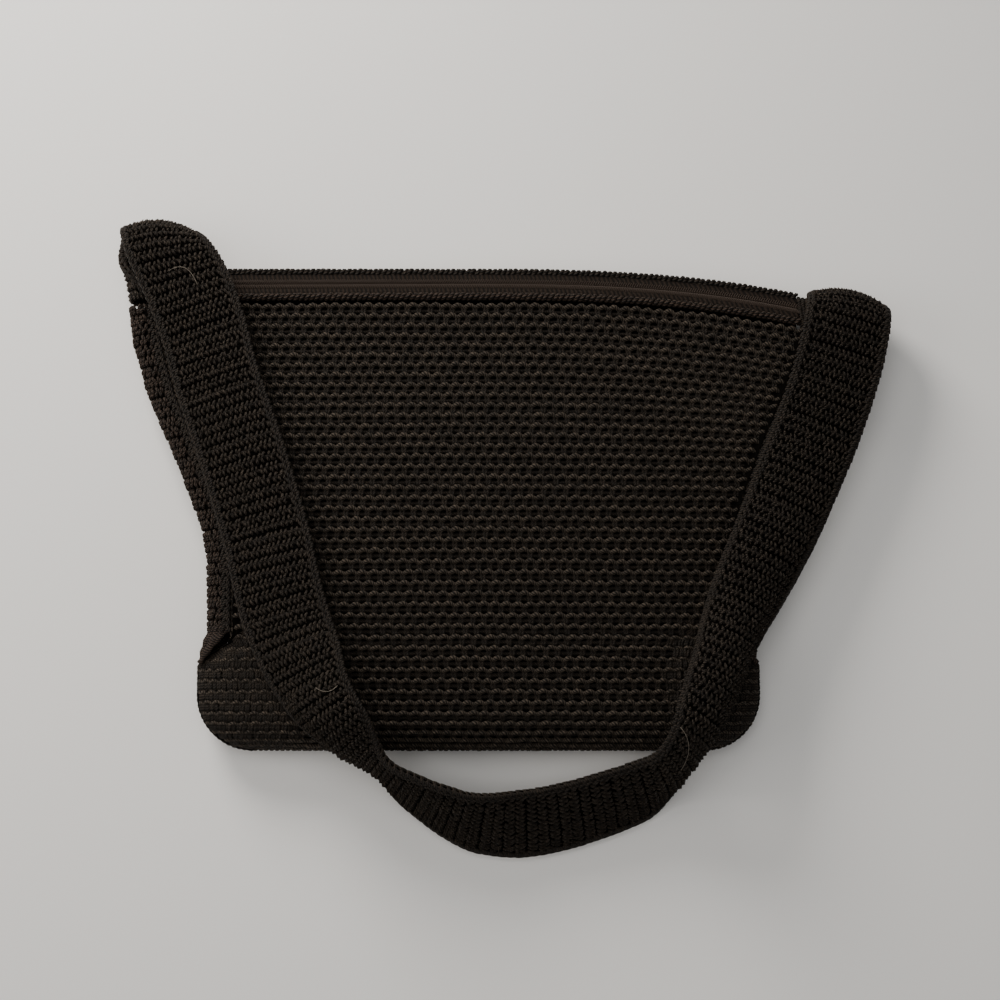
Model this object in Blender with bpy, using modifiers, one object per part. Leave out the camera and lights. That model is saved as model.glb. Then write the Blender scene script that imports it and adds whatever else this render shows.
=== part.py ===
"""A crochet shoulder bag lying on its back, zip closed, its strap folded forward over the front panel.

Metres, +Z up. X runs across the bag and +Y towards its mouth. The back panel lies flat on Z = 0, and the origin is
at the middle of its underside. Tables give places as shares of the named sizes.
"""

import math

import bmesh
import bpy
from mathutils import Vector

# The body: half its width at the bottom corners, its length from the bottom to the mouth, its height when lying
HALF_WIDTH = 0.1355
HALF_LENGTH = 0.1145
HEIGHT = 0.036
WALL = 0.0035
SEAM_HEIGHT = 0.014
EDGE_RADIUS = 0.020
CORNER_RADIUS = 0.027
EDGE_LIP = 0.002
SEAM_OPENING = 0.0015
NOTCH_Y = -0.0605
NOTCH_RUN = 0.014
NOTCH_GAP = 0.0022

# The mouth: the front panel's top edge, how far its right end drops, and what lies beyond that edge
MOUTH_Y = 0.1043
MOUTH_DROP = 0.0125
MOUTH_DROP_POWER = 2.6
MOUTH_ENDS = (-0.148, 0.1585)
FRONT_BORDER_RADIUS = 0.0021
BACK_BORDER_RADIUS = 0.0023
CHAIN_WIDTH = 0.0057
CHAIN_THICKNESS = 0.0024
TAPE_THICKNESS = 0.0009
MOUTH_DEPTH = 0.018
BACK_BORDER_Z = 0.0093
BACK_EDGE_RISE = 0.006
BACK_EDGE_SET = 0.0038
BACK_CURL = 0.012
BACK_CORNER_SHARE = 0.12
BORDER_SET = 0.0005

# The crocheted band: side gussets sewn between the panels, and the strap that continues them
BAND_THICKNESS = 0.004
GUSSET_WIDTH = 0.036
STRAP_WIDTH = 0.042
GUSSET_BACK_Z = 0.0035
GUSSET_TOP = {"left": 0.104, "right": 0.066}
SEAM_GAP = 0.0010
CLEARANCE = 0.0003
REST_CLEARANCE = 0.0018
SQUARE_END = 0.036
STRAP_START = 0.0019
REST_FROM = 0.080
GUSSET_REACH = 0.0144

SLIDER_SIZE = (0.011, 0.008, 0.0032)
SLIDER_ROUNDING = 0.001
SLIDER_X = -0.139

# Places along the body as shares of HALF_LENGTH, half widths as shares of HALF_WIDTH, heights as shares of HEIGHT
BODY_SECTIONS = [
    # up, left, right, seam, crown
    {"up": -1.00, "left": 0.850, "right": 0.850, "seam": 0.80, "crown": 0.96},
    {"up": -0.53, "left": 0.862, "right": 0.856, "seam": 0.79, "crown": 1.00},
    {"up": -0.12, "left": 0.880, "right": 0.893, "seam": 0.77, "crown": 0.98},
    {"up": 0.22, "left": 0.985, "right": 0.989, "seam": 0.72, "crown": 0.90},
    {"up": 0.57, "left": 1.108, "right": 1.114, "seam": 0.64, "crown": 0.77},
    {"up": 0.91, "left": 1.174, "right": 1.203, "seam": 0.55, "crown": 0.63},
]

# The strap's middle line: across and up as shares of HALF_WIDTH and HALF_LENGTH, lift as a share of HEIGHT.
# turn is the plan angle of its width, bank the width's tilt, and curl half the angle of its bowed section.
STRAP_SECTIONS = [
    {"across": -1.195, "up": 0.985, "lift": 0.385, "turn": 0, "bank": -64, "curl": 100},
    {"across": -1.205, "up": 1.055, "lift": 0.350, "turn": 0, "bank": -36, "curl": 70},
    {"across": -1.195, "up": 1.125, "lift": 0.260, "turn": 0, "bank": -12, "curl": 36},
    {"across": -1.180, "up": 1.170, "lift": 0.230, "turn": -2, "bank": 0, "curl": 24},
    {"across": -1.175, "up": 1.208, "lift": 0.345, "turn": -5, "bank": 0, "curl": 34},
    {"across": -1.170, "up": 1.218, "lift": 0.510, "turn": -7, "bank": 0, "curl": 40},
    {"across": -1.158, "up": 1.200, "lift": 0.680, "turn": -2, "bank": 0, "curl": 32},
    {"across": -1.128, "up": 1.137, "lift": 0.785, "turn": 7, "bank": 0, "curl": 16},
    {"across": -1.077, "up": 1.030, "lift": 0.790, "turn": 16, "bank": 1, "curl": 8},
    {"across": -1.026, "up": 0.895, "lift": 0.785, "turn": 19, "bank": 4, "curl": 6},
    {"across": -0.978, "up": 0.734, "lift": 0.730, "turn": 18, "bank": 6, "curl": 8},
    {"across": -0.938, "up": 0.566, "lift": 0.700, "turn": 17, "bank": 8, "curl": 10},
    {"across": -0.834, "up": 0.223, "lift": 0.740, "turn": 17, "bank": 9, "curl": 12},
    {"across": -0.738, "up": -0.137, "lift": 0.800, "turn": 14, "bank": 9, "curl": 12},
    {"across": -0.710, "up": -0.284, "lift": 0.820, "turn": 13, "bank": 9, "curl": 12},
    {"across": -0.671, "up": -0.446, "lift": 0.840, "turn": 17, "bank": 10, "curl": 16},
    {"across": -0.613, "up": -0.611, "lift": 0.860, "turn": 22, "bank": 15, "curl": 30},
    {"across": -0.535, "up": -0.795, "lift": 0.880, "turn": 29, "bank": 32, "curl": 52},
    {"across": -0.443, "up": -0.917, "lift": 0.900, "turn": 35, "bank": 48, "curl": 56},
    {"across": -0.380, "up": -1.004, "lift": 0.750, "turn": 40, "bank": 70, "curl": 36},
    {"across": -0.337, "up": -1.060, "lift": 0.680, "turn": 45, "bank": 79, "curl": 20},
    {"across": -0.282, "up": -1.123, "lift": 0.640, "turn": 51, "bank": 73, "curl": 20},
    {"across": -0.206, "up": -1.186, "lift": 0.600, "turn": 57, "bank": 65, "curl": 16},
    {"across": -0.098, "up": -1.255, "lift": 0.560, "turn": 67, "bank": 57, "curl": 14},
    {"across": -0.005, "up": -1.297, "lift": 0.520, "turn": 79, "bank": 49, "curl": 12},
    {"across": 0.148, "up": -1.302, "lift": 0.460, "turn": 91, "bank": 41, "curl": 12},
    {"across": 0.288, "up": -1.275, "lift": 0.460, "turn": 98, "bank": 42, "curl": 12},
    {"across": 0.430, "up": -1.226, "lift": 0.480, "turn": 102, "bank": 44, "curl": 12},
    {"across": 0.580, "up": -1.158, "lift": 0.520, "turn": 109, "bank": 48, "curl": 16},
    {"across": 0.652, "up": -1.083, "lift": 0.600, "turn": 119, "bank": 59, "curl": 38},
    {"across": 0.698, "up": -0.975, "lift": 0.720, "turn": 134, "bank": 62, "curl": 62},
    {"across": 0.764, "up": -0.805, "lift": 0.840, "turn": 147, "bank": 42, "curl": 84},
    {"across": 0.823, "up": -0.650, "lift": 0.860, "turn": 152, "bank": 32, "curl": 86},
    {"across": 0.883, "up": -0.489, "lift": 0.860, "turn": 154, "bank": 23, "curl": 72},
    {"across": 0.933, "up": -0.370, "lift": 0.860, "turn": 155, "bank": 18, "curl": 58},
    {"across": 1.004, "up": -0.205, "lift": 0.850, "turn": 155, "bank": 12, "curl": 46},
    {"across": 1.069, "up": -0.045, "lift": 0.840, "turn": 156, "bank": 9, "curl": 34},
    {"across": 1.131, "up": 0.125, "lift": 0.830, "turn": 157, "bank": 7, "curl": 22},
    {"across": 1.194, "up": 0.296, "lift": 0.825, "turn": 158, "bank": 6, "curl": 16},
    {"across": 1.248, "up": 0.469, "lift": 0.830, "turn": 160, "bank": 4, "curl": 10},
    {"across": 1.295, "up": 0.643, "lift": 0.835, "turn": 162, "bank": 3, "curl": 6},
    {"across": 1.324, "up": 0.793, "lift": 0.820, "turn": 164, "bank": 1, "curl": 10},
    {"across": 1.340, "up": 0.876, "lift": 0.720, "turn": 167, "bank": 0, "curl": 24},
    {"across": 1.345, "up": 0.915, "lift": 0.530, "turn": 169, "bank": 0, "curl": 38},
    {"across": 1.348, "up": 0.902, "lift": 0.340, "turn": 167, "bank": 0, "curl": 34},
    {"across": 1.345, "up": 0.850, "lift": 0.270, "turn": 163, "bank": -10, "curl": 40},
    {"across": 1.305, "up": 0.800, "lift": 0.365, "turn": 160, "bank": -34, "curl": 74},
    {"across": 1.238, "up": 0.735, "lift": 0.385, "turn": 164, "bank": -60, "curl": 104},
    {"across": 1.172, "up": 0.650, "lift": 0.360, "turn": 175, "bank": -78, "curl": 114},
]

# How finely the surfaces are divided
ROWS_BELOW_NOTCH = 3
NOTCH_ROWS = 4
ROWS_ABOVE_NOTCH = 11
ROWS_BEYOND_MOUTH = 4
EDGE_STEPS = 5
COLUMNS_BETWEEN = 14
BAND_COLUMNS = 6
BAND_STEP = 0.0085
SUBSTEPS = 24
MOUTH_STEPS = 30
BORDER_STEPS = 2
ROUNDING_STEPS = 2

# Angles in radians below which a band counts as flat, and how often a value is worked out again
FLAT_ANGLE = 0.02
HALVINGS = 40
DROP_PASSES = 4
LIFT_PASSES = 6

YARN_COLOUR = (0.0085, 0.0070, 0.0058)
TAPE_COLOUR = (0.020, 0.015, 0.011)
COIL_COLOUR = (0.030, 0.022, 0.016)
SLIDER_COLOUR = (0.10, 0.08, 0.06)
YARN_ROUGHNESS = 0.85
TAPE_ROUGHNESS = 0.7
COIL_ROUGHNESS = 0.45
SLIDER_ROUGHNESS = 0.4


def empty_scene():
    for obj in list(bpy.data.objects):
        bpy.data.objects.remove(obj, do_unlink=True)


def mix(a, b, share):
    return a + (b - a) * share


def smooth(share):
    share = min(max(share, 0.0), 1.0)
    return share * share * (3.0 - 2.0 * share)


def curve_through(before, start, end, after, share):
    """Catmull-Rom value between start and end."""
    square = share * share
    cube = square * share
    return 0.5 * (
        2.0 * start
        + (end - before) * share
        + (2.0 * before - 5.0 * start + 4.0 * end - after) * square
        + (3.0 * start - before - 3.0 * end + after) * cube
    )


def body_value(column, y):
    """A column of BODY_SECTIONS read smoothly at a place along the body."""
    up = y / HALF_LENGTH
    rows = BODY_SECTIONS
    index = 0
    while index < len(rows) - 2 and up > rows[index + 1]["up"]:
        index += 1
    first, second = rows[index], rows[index + 1]
    share = (up - first["up"]) / (second["up"] - first["up"])
    before = rows[max(index - 1, 0)][column]
    after = rows[min(index + 2, len(rows) - 1)][column]
    return curve_through(before, first[column], second[column], after, share)


def seam_x(y, side):
    """Distance from the middle to the seam between a panel and the gusset."""
    return HALF_WIDTH * body_value(side, y)


def side_of(x):
    return "left" if x < 0.0 else "right"


def flare(y):
    """0 beside the gussets and 1 at the bottom corners, where front and back meet."""
    return smooth((NOTCH_Y - y) / NOTCH_RUN)


def edge_x(y, side):
    """Distance from the middle to a panel's edge, with the rounded bottom corner."""
    above_bottom = y + HALF_LENGTH
    inset = 0.0
    if above_bottom < CORNER_RADIUS:
        rise = CORNER_RADIUS - max(above_bottom, 0.0)
        inset = CORNER_RADIUS - math.sqrt(CORNER_RADIUS**2 - rise**2)
    return mix(seam_x(y, side), HALF_WIDTH - inset, flare(y))


def roundness(distance):
    """Height of the rolled edge as a share, at a distance in from the outline."""
    out = 1.0 - min(max(distance / EDGE_RADIUS, 0.0), 1.0)
    return math.sqrt(1.0 - out * out)


def open_height(x, y):
    """The front panel's crown over the gussets, before its edges roll under."""
    side = side_of(x)
    crown = HEIGHT * body_value("crown", y)
    seam = HEIGHT * body_value("seam", y)
    across = x / seam_x(y, side)
    return crown - (crown - seam) * across * across


def front_height(x, y):
    """The front panel's outer surface as a height over the plan."""
    side = side_of(x)
    along = roundness(y + HALF_LENGTH)
    across = mix(1.0, roundness(edge_x(y, side) - abs(x)), flare(y))
    return SEAM_HEIGHT + (open_height(x, y) - SEAM_HEIGHT) * along * across


def mouth_drop(x):
    """How far the mouth's line falls back towards its right end."""
    return MOUTH_DROP * (max(x, 0.0) / MOUTH_ENDS[1]) ** MOUTH_DROP_POWER


def dropped(x, y):
    """The place along the body of a panel's row, which follows the mouth's drop towards the right."""
    return y - mouth_drop(x) * smooth(y / MOUTH_Y)


def row_edge(y, side):
    """Distance from the middle to the edge of a row that drops."""
    edge = edge_x(y, side)
    if side == "left":
        return edge
    for _ in range(DROP_PASSES):
        edge = edge_x(dropped(edge, y), side)
    return edge


def gusset_section(y, side):
    """Middle, half angle and radius of the bowed gusset between its two seams."""
    front = HEIGHT * body_value("seam", y) - WALL / 2.0
    chord = front - GUSSET_BACK_Z
    low, high = FLAT_ANGLE, math.pi
    for _ in range(HALVINGS):
        angle = 0.5 * (low + high)
        if math.sin(angle) / angle > chord / GUSSET_WIDTH:
            low = angle
        else:
            high = angle
    sign = -1.0 if side == "left" else 1.0
    middle = Vector((sign * (seam_x(y, side) + SEAM_GAP), y, GUSSET_BACK_Z + chord / 2.0))
    return middle, math.degrees(angle)


def height_below(x, y):
    """The highest thing that the strap may rest on at a place: panel, gusset, mouth or floor."""
    side = side_of(x)
    edge = edge_x(y, side)
    floor = CLEARANCE - REST_CLEARANCE
    if y < -HALF_LENGTH:
        return floor
    beyond = y - dropped(x, MOUTH_Y)
    if beyond > 0.0:
        if beyond > MOUTH_DEPTH + 2.0 * BACK_BORDER_RADIUS or abs(x) > edge:
            return floor
        return HEIGHT * body_value("crown", MOUTH_Y)
    if abs(x) <= edge:
        return front_height(x, y)
    if y < NOTCH_Y or y > GUSSET_TOP[side]:
        return floor
    out = (abs(x) - edge) / GUSSET_REACH
    if out > 1.0:
        return floor
    seam = HEIGHT * body_value("seam", y)
    return seam * (0.5 + 0.5 * math.sqrt(1.0 - out * out))


def arc_points(middle, width_way, outward, width, curl):
    """A bowed section of the band, from its front edge to its back edge."""
    angle = math.radians(curl)
    points = []
    for index in range(BAND_COLUMNS + 1):
        share = 1.0 - 2.0 * index / BAND_COLUMNS
        if angle < FLAT_ANGLE:
            points.append(middle - width_way * (0.5 * width * share))
            continue
        radius = width / (2.0 * angle)
        centre = middle - outward * (radius * math.cos(angle))
        here = angle * share
        points.append(centre + outward * (radius * math.cos(here)) - width_way * (radius * math.sin(here)))
    return points


def strap_rows():
    """The table with the gussets' own ends added, in metres and degrees."""
    rows = []
    for row in STRAP_SECTIONS:
        place = Vector((row["across"] * HALF_WIDTH, row["up"] * HALF_LENGTH, row["lift"] * HEIGHT))
        rows.append((place, row["turn"], row["bank"], row["curl"]))
    for side, turn in (("left", 0.0), ("right", 180.0)):
        middle, angle = gusset_section(GUSSET_TOP[side], side)
        middle.y += STRAP_START
        end = (middle, turn, -90.0, angle)
        rows = [end] + rows if side == "left" else rows + [end]
    return rows


def strap_line():
    """The strap's middle line and angles, in even steps along its length."""
    rows = strap_rows()
    dense = []
    for index in range(len(rows) - 1):
        before = rows[max(index - 1, 0)]
        after = rows[min(index + 2, len(rows) - 1)]
        first, second = rows[index], rows[index + 1]
        for step in range(SUBSTEPS):
            share = step / SUBSTEPS
            place = curve_through(before[0], first[0], second[0], after[0], share)
            angles = [mix(first[k], second[k], smooth(share)) for k in (1, 2, 3)]
            dense.append((place, *angles))
    dense.append(rows[-1])
    lengths = [0.0]
    for one, two in zip(dense, dense[1:]):
        lengths.append(lengths[-1] + (two[0] - one[0]).length)
    count = round(lengths[-1] / BAND_STEP)
    line = []
    index = 0
    for step in range(count + 1):
        goal = lengths[-1] * step / count
        while index < len(lengths) - 2 and lengths[index + 1] < goal:
            index += 1
        share = (goal - lengths[index]) / (lengths[index + 1] - lengths[index])
        one, two = dense[index], dense[index + 1]
        place = one[0].lerp(two[0], share)
        line.append([place] + [mix(one[k], two[k], share) for k in (1, 2, 3)])
    return line


def strap_frames(line):
    """Width and outward directions along the strap. Its two ends lie square to the gussets."""
    frames = []
    last = len(line) - 1
    for index, (_, turn, bank, _) in enumerate(line):
        ahead = (line[min(index + 1, last)][0] - line[max(index - 1, 0)][0]).normalized()
        from_end = min(index, last - index) * BAND_STEP
        square = Vector((0.0, 1.0 if 2 * index < last else -1.0, 0.0))
        ahead = square.lerp(ahead, smooth(from_end / SQUARE_END))
        turn, bank = math.radians(turn), math.radians(bank)
        width_way = Vector((math.cos(turn) * math.cos(bank), math.sin(turn) * math.cos(bank), math.sin(bank)))
        outward = ahead.cross(width_way).normalized()
        frames.append((width_way, outward))
    return frames


def strap_sections():
    """The strap's cross-sections, lifted where they would sink into what lies below them."""
    line = strap_line()
    frames = strap_frames(line)
    last = len(line) - 1
    sections = []
    lifts = []
    for index, (middle, _, _, curl) in enumerate(line):
        from_end = min(index, last - index) * BAND_STEP
        width = mix(GUSSET_WIDTH, STRAP_WIDTH, smooth(from_end / STRAP_WIDTH))
        points = arc_points(middle, *frames[index], width, curl)
        sections.append(points)
        rise = BAND_THICKNESS / 2.0 + REST_CLEARANCE
        lift = max(height_below(p.x, p.y) + rise - p.z for p in points)
        lifts.append(max(0.0, lift) if from_end > REST_FROM else 0.0)
    for _ in range(LIFT_PASSES):
        spread = [max(lifts[i], 0.5 * (lifts[i - 1] + lifts[i + 1])) for i in range(1, last)]
        lifts = [0.0] + spread + [0.0]
    for points, lift in zip(sections, lifts):
        for point in points:
            point.z = max(point.z + lift, BAND_THICKNESS / 2.0 + CLEARANCE)
    return sections


def gusset_sections(side):
    """The gusset's cross-sections, from the notch up to the strap."""
    top = GUSSET_TOP[side]
    bottom = NOTCH_Y + NOTCH_GAP
    count = round((top - bottom) / BAND_STEP)
    outward = Vector((-1.0 if side == "left" else 1.0, 0.0, 0.0))
    down = Vector((0.0, 0.0, -1.0))
    sections = []
    for index in range(count + 1):
        y = mix(bottom, top, index / count)
        middle, angle = gusset_section(y, side)
        sections.append(arc_points(middle, down, outward, GUSSET_WIDTH, angle))
    return sections


def material_of(name, colour, roughness, metallic=0.0):
    material = bpy.data.materials.new(name)
    material.use_nodes = True
    shader = material.node_tree.nodes["Principled BSDF"]
    shader.inputs["Base Color"].default_value = (*colour, 1.0)
    shader.inputs["Roughness"].default_value = roughness
    shader.inputs["Metallic"].default_value = metallic
    return material


def object_from_grid(name, rows, material, collection):
    """One open surface through rows of points."""
    mesh = bpy.data.meshes.new(name)
    build = bmesh.new()
    grid = [[build.verts.new(point) for point in row] for row in rows]
    for lower, upper in zip(grid, grid[1:]):
        for index in range(len(lower) - 1):
            build.faces.new((lower[index], lower[index + 1], upper[index + 1], upper[index]))
    build.to_mesh(mesh)
    build.free()
    mesh.shade_smooth()
    mesh.materials.append(material)
    obj = bpy.data.objects.new(name, mesh)
    collection.objects.link(obj)
    return obj


def give_thickness(obj, thickness, offset):
    shell = obj.modifiers.new("wall", "SOLIDIFY")
    shell.thickness = thickness
    shell.offset = offset
    shell.use_even_offset = False
    shell.use_rim = True


def rolled_insets():
    """Distances in from the outline and height shares, through the lip and the rolled edge."""
    lip = EDGE_LIP / (HEIGHT - SEAM_HEIGHT)
    steps = [(0.0, 0.0), (0.0, lip)]
    for index in range(1, EDGE_STEPS + 1):
        angle = 0.5 * math.pi * index / EDGE_STEPS
        steps.append((EDGE_RADIUS * (1.0 - math.cos(angle)), lip + (1.0 - lip) * math.sin(angle)))
    return steps


def panel_rows(top_y):
    """Places along the body and height shares of a panel's rows, from the bottom seam to its top."""
    rolled = [(inset - HALF_LENGTH, share) for inset, share in rolled_insets()]
    start = rolled[-1][0]
    rows = list(rolled)
    for index in range(1, ROWS_BELOW_NOTCH + 1):
        rows.append((mix(start, NOTCH_Y - NOTCH_RUN, index / ROWS_BELOW_NOTCH), 1.0))
    for index in range(1, NOTCH_ROWS + 1):
        rows.append((mix(NOTCH_Y - NOTCH_RUN, NOTCH_Y, index / NOTCH_ROWS), 1.0))
    for index in range(1, ROWS_ABOVE_NOTCH + 1):
        rows.append((mix(NOTCH_Y, top_y, index / ROWS_ABOVE_NOTCH), 1.0))
    return rows


def panel_columns(y, side):
    """Distances in from a panel's edge and height shares, from its edge to its middle."""
    rolled = rolled_insets()
    edge = row_edge(y, side)
    blend = flare(y)
    half = COLUMNS_BETWEEN // 2
    columns = []
    for index, (inset, share) in enumerate(rolled):
        even = EDGE_RADIUS * index / (len(rolled) - 1)
        columns.append((edge - mix(even, inset, blend), mix(1.0, share, blend)))
    start = columns[-1][0]
    for index in range(1, half + 1):
        columns.append((mix(start, 0.0, index / half), 1.0))
    return columns


def panel_row(y):
    """x and height share of each column of one row, from left to right."""
    left = [(-x, share) for x, share in panel_columns(y, "left")]
    right = panel_columns(y, "right")
    return left + right[-2::-1]


def front_panel(material, collection):
    gap = SEAM_OPENING / 2.0
    rows = []
    for y, along in panel_rows(MOUTH_Y):
        row = []
        for x, across in panel_row(y):
            seam = SEAM_HEIGHT + gap
            place = dropped(x, y)
            z = seam + (open_height(x, place) - seam) * along * across
            row.append(Vector((x, place, z)))
        rows.append(row)
    panel = object_from_grid("front_panel", rows, material, collection)
    give_thickness(panel, WALL, -1.0)
    return panel


def back_panel(material, collection):
    gap = SEAM_OPENING / 2.0
    top = MOUTH_Y + MOUTH_DEPTH - BACK_EDGE_SET
    places = panel_rows(MOUTH_Y)
    for index in range(1, ROWS_BEYOND_MOUTH + 1):
        places.append((mix(MOUTH_Y, top, index / ROWS_BEYOND_MOUTH), 1.0))
    rows = []
    for y, along in places:
        row = []
        for x, across in panel_row(min(y, MOUTH_Y)):
            z = (SEAM_HEIGHT - gap) * (1.0 - along * across)
            beyond = y - MOUTH_Y
            if beyond > 0.0:
                end = MOUTH_ENDS[0] if x < 0.0 else MOUTH_ENDS[1]
                edge = row_edge(MOUTH_Y, side_of(x))
                corner = smooth((abs(x) - abs(end)) / (edge - abs(end)))
                beyond *= mix(1.0, BACK_CORNER_SHARE, corner)
                curl = max(0.0, beyond - (top - MOUTH_Y - BACK_CURL)) / BACK_CURL
                z = BACK_EDGE_RISE * curl * curl
            row.append(Vector((x, dropped(x, min(y, MOUTH_Y)) + max(beyond, 0.0), z)))
        rows.append(row[::-1])
    panel = object_from_grid("back_panel", rows, material, collection)
    give_thickness(panel, WALL, -1.0)
    return panel


def band(name, sections, material, collection, flipped):
    rows = [section[::-1] if flipped else section for section in sections]
    piece = object_from_grid(name, rows, material, collection)
    give_thickness(piece, BAND_THICKNESS, 0.0)
    return piece


def mouth_places():
    """Evenly spaced places along the mouth, as x, its line's y and the panel's height there."""
    places = []
    for index in range(MOUTH_STEPS + 1):
        x = mix(MOUTH_ENDS[0], MOUTH_ENDS[1], index / MOUTH_STEPS)
        line = dropped(x, MOUTH_Y)
        places.append((x, line, open_height(x, line)))
    return places


def front_border_place(x, y, height):
    beyond = FRONT_BORDER_RADIUS + BORDER_SET + CLEARANCE
    return Vector((x, y + beyond, height - WALL / 2.0))


def back_border_place(x, y, _height):
    return Vector((x, y + MOUTH_DEPTH, BACK_BORDER_Z))


def border(name, place_of, radius, material, collection):
    curve = bpy.data.curves.new(name, "CURVE")
    curve.dimensions = "3D"
    curve.bevel_depth = radius
    curve.bevel_resolution = BORDER_STEPS
    curve.use_fill_caps = True
    spline = curve.splines.new("POLY")
    points = [place_of(*place) for place in mouth_places()]
    spline.points.add(len(points) - 1)
    for point, place in zip(spline.points, points):
        point.co = (*place, 1.0)
    curve.materials.append(material)
    obj = bpy.data.objects.new(name, curve)
    collection.objects.link(obj)
    return obj


def chain_edges(place):
    """The zip's centre and its two long edges, between the borders."""
    front = front_border_place(*place)
    back = back_border_place(*place)
    way = (back - front).normalized()
    front_rim = front + way * (FRONT_BORDER_RADIUS + TAPE_THICKNESS / 2.0 + CLEARANCE)
    back_rim = back - way * (BACK_BORDER_RADIUS + TAPE_THICKNESS / 2.0 + CLEARANCE)
    middle = (front_rim + back_rim) / 2.0
    return front_rim, middle - way * (CHAIN_WIDTH / 2.0), middle + way * (CHAIN_WIDTH / 2.0), back_rim


def zip_strip(name, ends_of, thickness, material, collection):
    """A flat strip along the mouth between two edges."""
    pairs = [ends_of(place) for place in mouth_places()]
    rows = [[near, far] for near, far in pairs]
    strip = object_from_grid(name, rows, material, collection)
    give_thickness(strip, thickness, 0.0)
    return strip


def front_tape_ends(place):
    front_rim, chain_front, _, _ = chain_edges(place)
    way = (chain_front - front_rim).normalized()
    return front_rim, chain_front - way * CLEARANCE


def back_tape_ends(place):
    _, _, chain_back, back_rim = chain_edges(place)
    way = (back_rim - chain_back).normalized()
    return chain_back + way * CLEARANCE, back_rim


def chain_ends(place):
    _, chain_front, chain_back, _ = chain_edges(place)
    return chain_front, chain_back


def zip_slider(material, collection):
    """A plain rounded slider on top of the chain."""
    place = (SLIDER_X, MOUTH_Y, open_height(SLIDER_X, MOUTH_Y))
    _, chain_front, chain_back, _ = chain_edges(place)
    slope = math.atan2(chain_back.z - chain_front.z, chain_back.y - chain_front.y)
    bpy.ops.mesh.primitive_cube_add(size=1.0)
    slider = bpy.context.object
    slider.name = "zip_slider"
    slider.data.name = "zip_slider"
    slider.scale = SLIDER_SIZE
    bpy.ops.object.transform_apply(location=False, rotation=False, scale=True)
    rise = CHAIN_THICKNESS / 2.0 + CLEARANCE + SLIDER_SIZE[2] / 2.0
    up = Vector((0.0, -math.sin(slope), math.cos(slope)))
    slider.location = (chain_front + chain_back) / 2.0 + up * rise
    slider.rotation_euler = (slope, 0.0, 0.0)
    rounding = slider.modifiers.new("rounding", "BEVEL")
    rounding.width = SLIDER_ROUNDING
    rounding.segments = ROUNDING_STEPS
    for old in list(slider.users_collection):
        old.objects.unlink(slider)
    collection.objects.link(slider)
    slider.data.materials.append(material)
    return slider


def build():
    empty_scene()
    collection = bpy.data.collections.new("crochet_bag")
    bpy.context.scene.collection.children.link(collection)

    def yarn(name):
        return material_of(name, YARN_COLOUR, YARN_ROUGHNESS)

    def tape(name):
        return material_of(name, TAPE_COLOUR, TAPE_ROUGHNESS)

    front_panel(yarn("front_yarn"), collection)
    back_panel(yarn("back_yarn"), collection)
    band("gusset_left", gusset_sections("left"), yarn("gusset_left_yarn"), collection, True)
    band("gusset_right", gusset_sections("right"), yarn("gusset_right_yarn"), collection, False)
    band("strap", strap_sections(), yarn("strap_yarn"), collection, False)
    border("mouth_border_front", front_border_place, FRONT_BORDER_RADIUS, yarn("front_edging"), collection)
    border("mouth_border_back", back_border_place, BACK_BORDER_RADIUS, yarn("back_edging"), collection)
    zip_strip("zip_tape_front", front_tape_ends, TAPE_THICKNESS, tape("front_tape"), collection)
    zip_strip("zip_tape_back", back_tape_ends, TAPE_THICKNESS, tape("back_tape"), collection)
    coil = material_of("coil_nylon", COIL_COLOUR, COIL_ROUGHNESS)
    zip_strip("zip_chain", chain_ends, CHAIN_THICKNESS, coil, collection)
    zip_slider(material_of("slider_metal", SLIDER_COLOUR, SLIDER_ROUGHNESS, 1.0), collection)


build()
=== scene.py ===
"""Looks of a black crochet shoulder bag lying on its back, its strap folded forward over the front.

The fabric is real yarn laid over the same surfaces as the solid part: each row is a wavy ridge of yarn, with
two short legs below it at each stitch. Metres, +Z up, +X across the bag, +Y towards its mouth.
"""

import math

import bpy
import numpy as np
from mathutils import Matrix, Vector


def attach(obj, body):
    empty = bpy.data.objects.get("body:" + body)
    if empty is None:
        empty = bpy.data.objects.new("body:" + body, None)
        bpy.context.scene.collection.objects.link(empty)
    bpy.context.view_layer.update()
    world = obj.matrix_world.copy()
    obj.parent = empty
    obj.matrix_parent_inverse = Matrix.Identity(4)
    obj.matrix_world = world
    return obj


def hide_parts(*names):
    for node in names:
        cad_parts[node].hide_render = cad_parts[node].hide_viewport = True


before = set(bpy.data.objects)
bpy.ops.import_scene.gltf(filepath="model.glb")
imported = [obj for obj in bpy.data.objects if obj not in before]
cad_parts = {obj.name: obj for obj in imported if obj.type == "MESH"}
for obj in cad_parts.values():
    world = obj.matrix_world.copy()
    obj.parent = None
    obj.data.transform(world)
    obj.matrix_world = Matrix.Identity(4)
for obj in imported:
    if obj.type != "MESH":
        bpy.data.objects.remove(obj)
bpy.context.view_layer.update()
chance = np.random.default_rng(11)
UPWARD = np.array([0.0, 0.0, 1.0])

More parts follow.
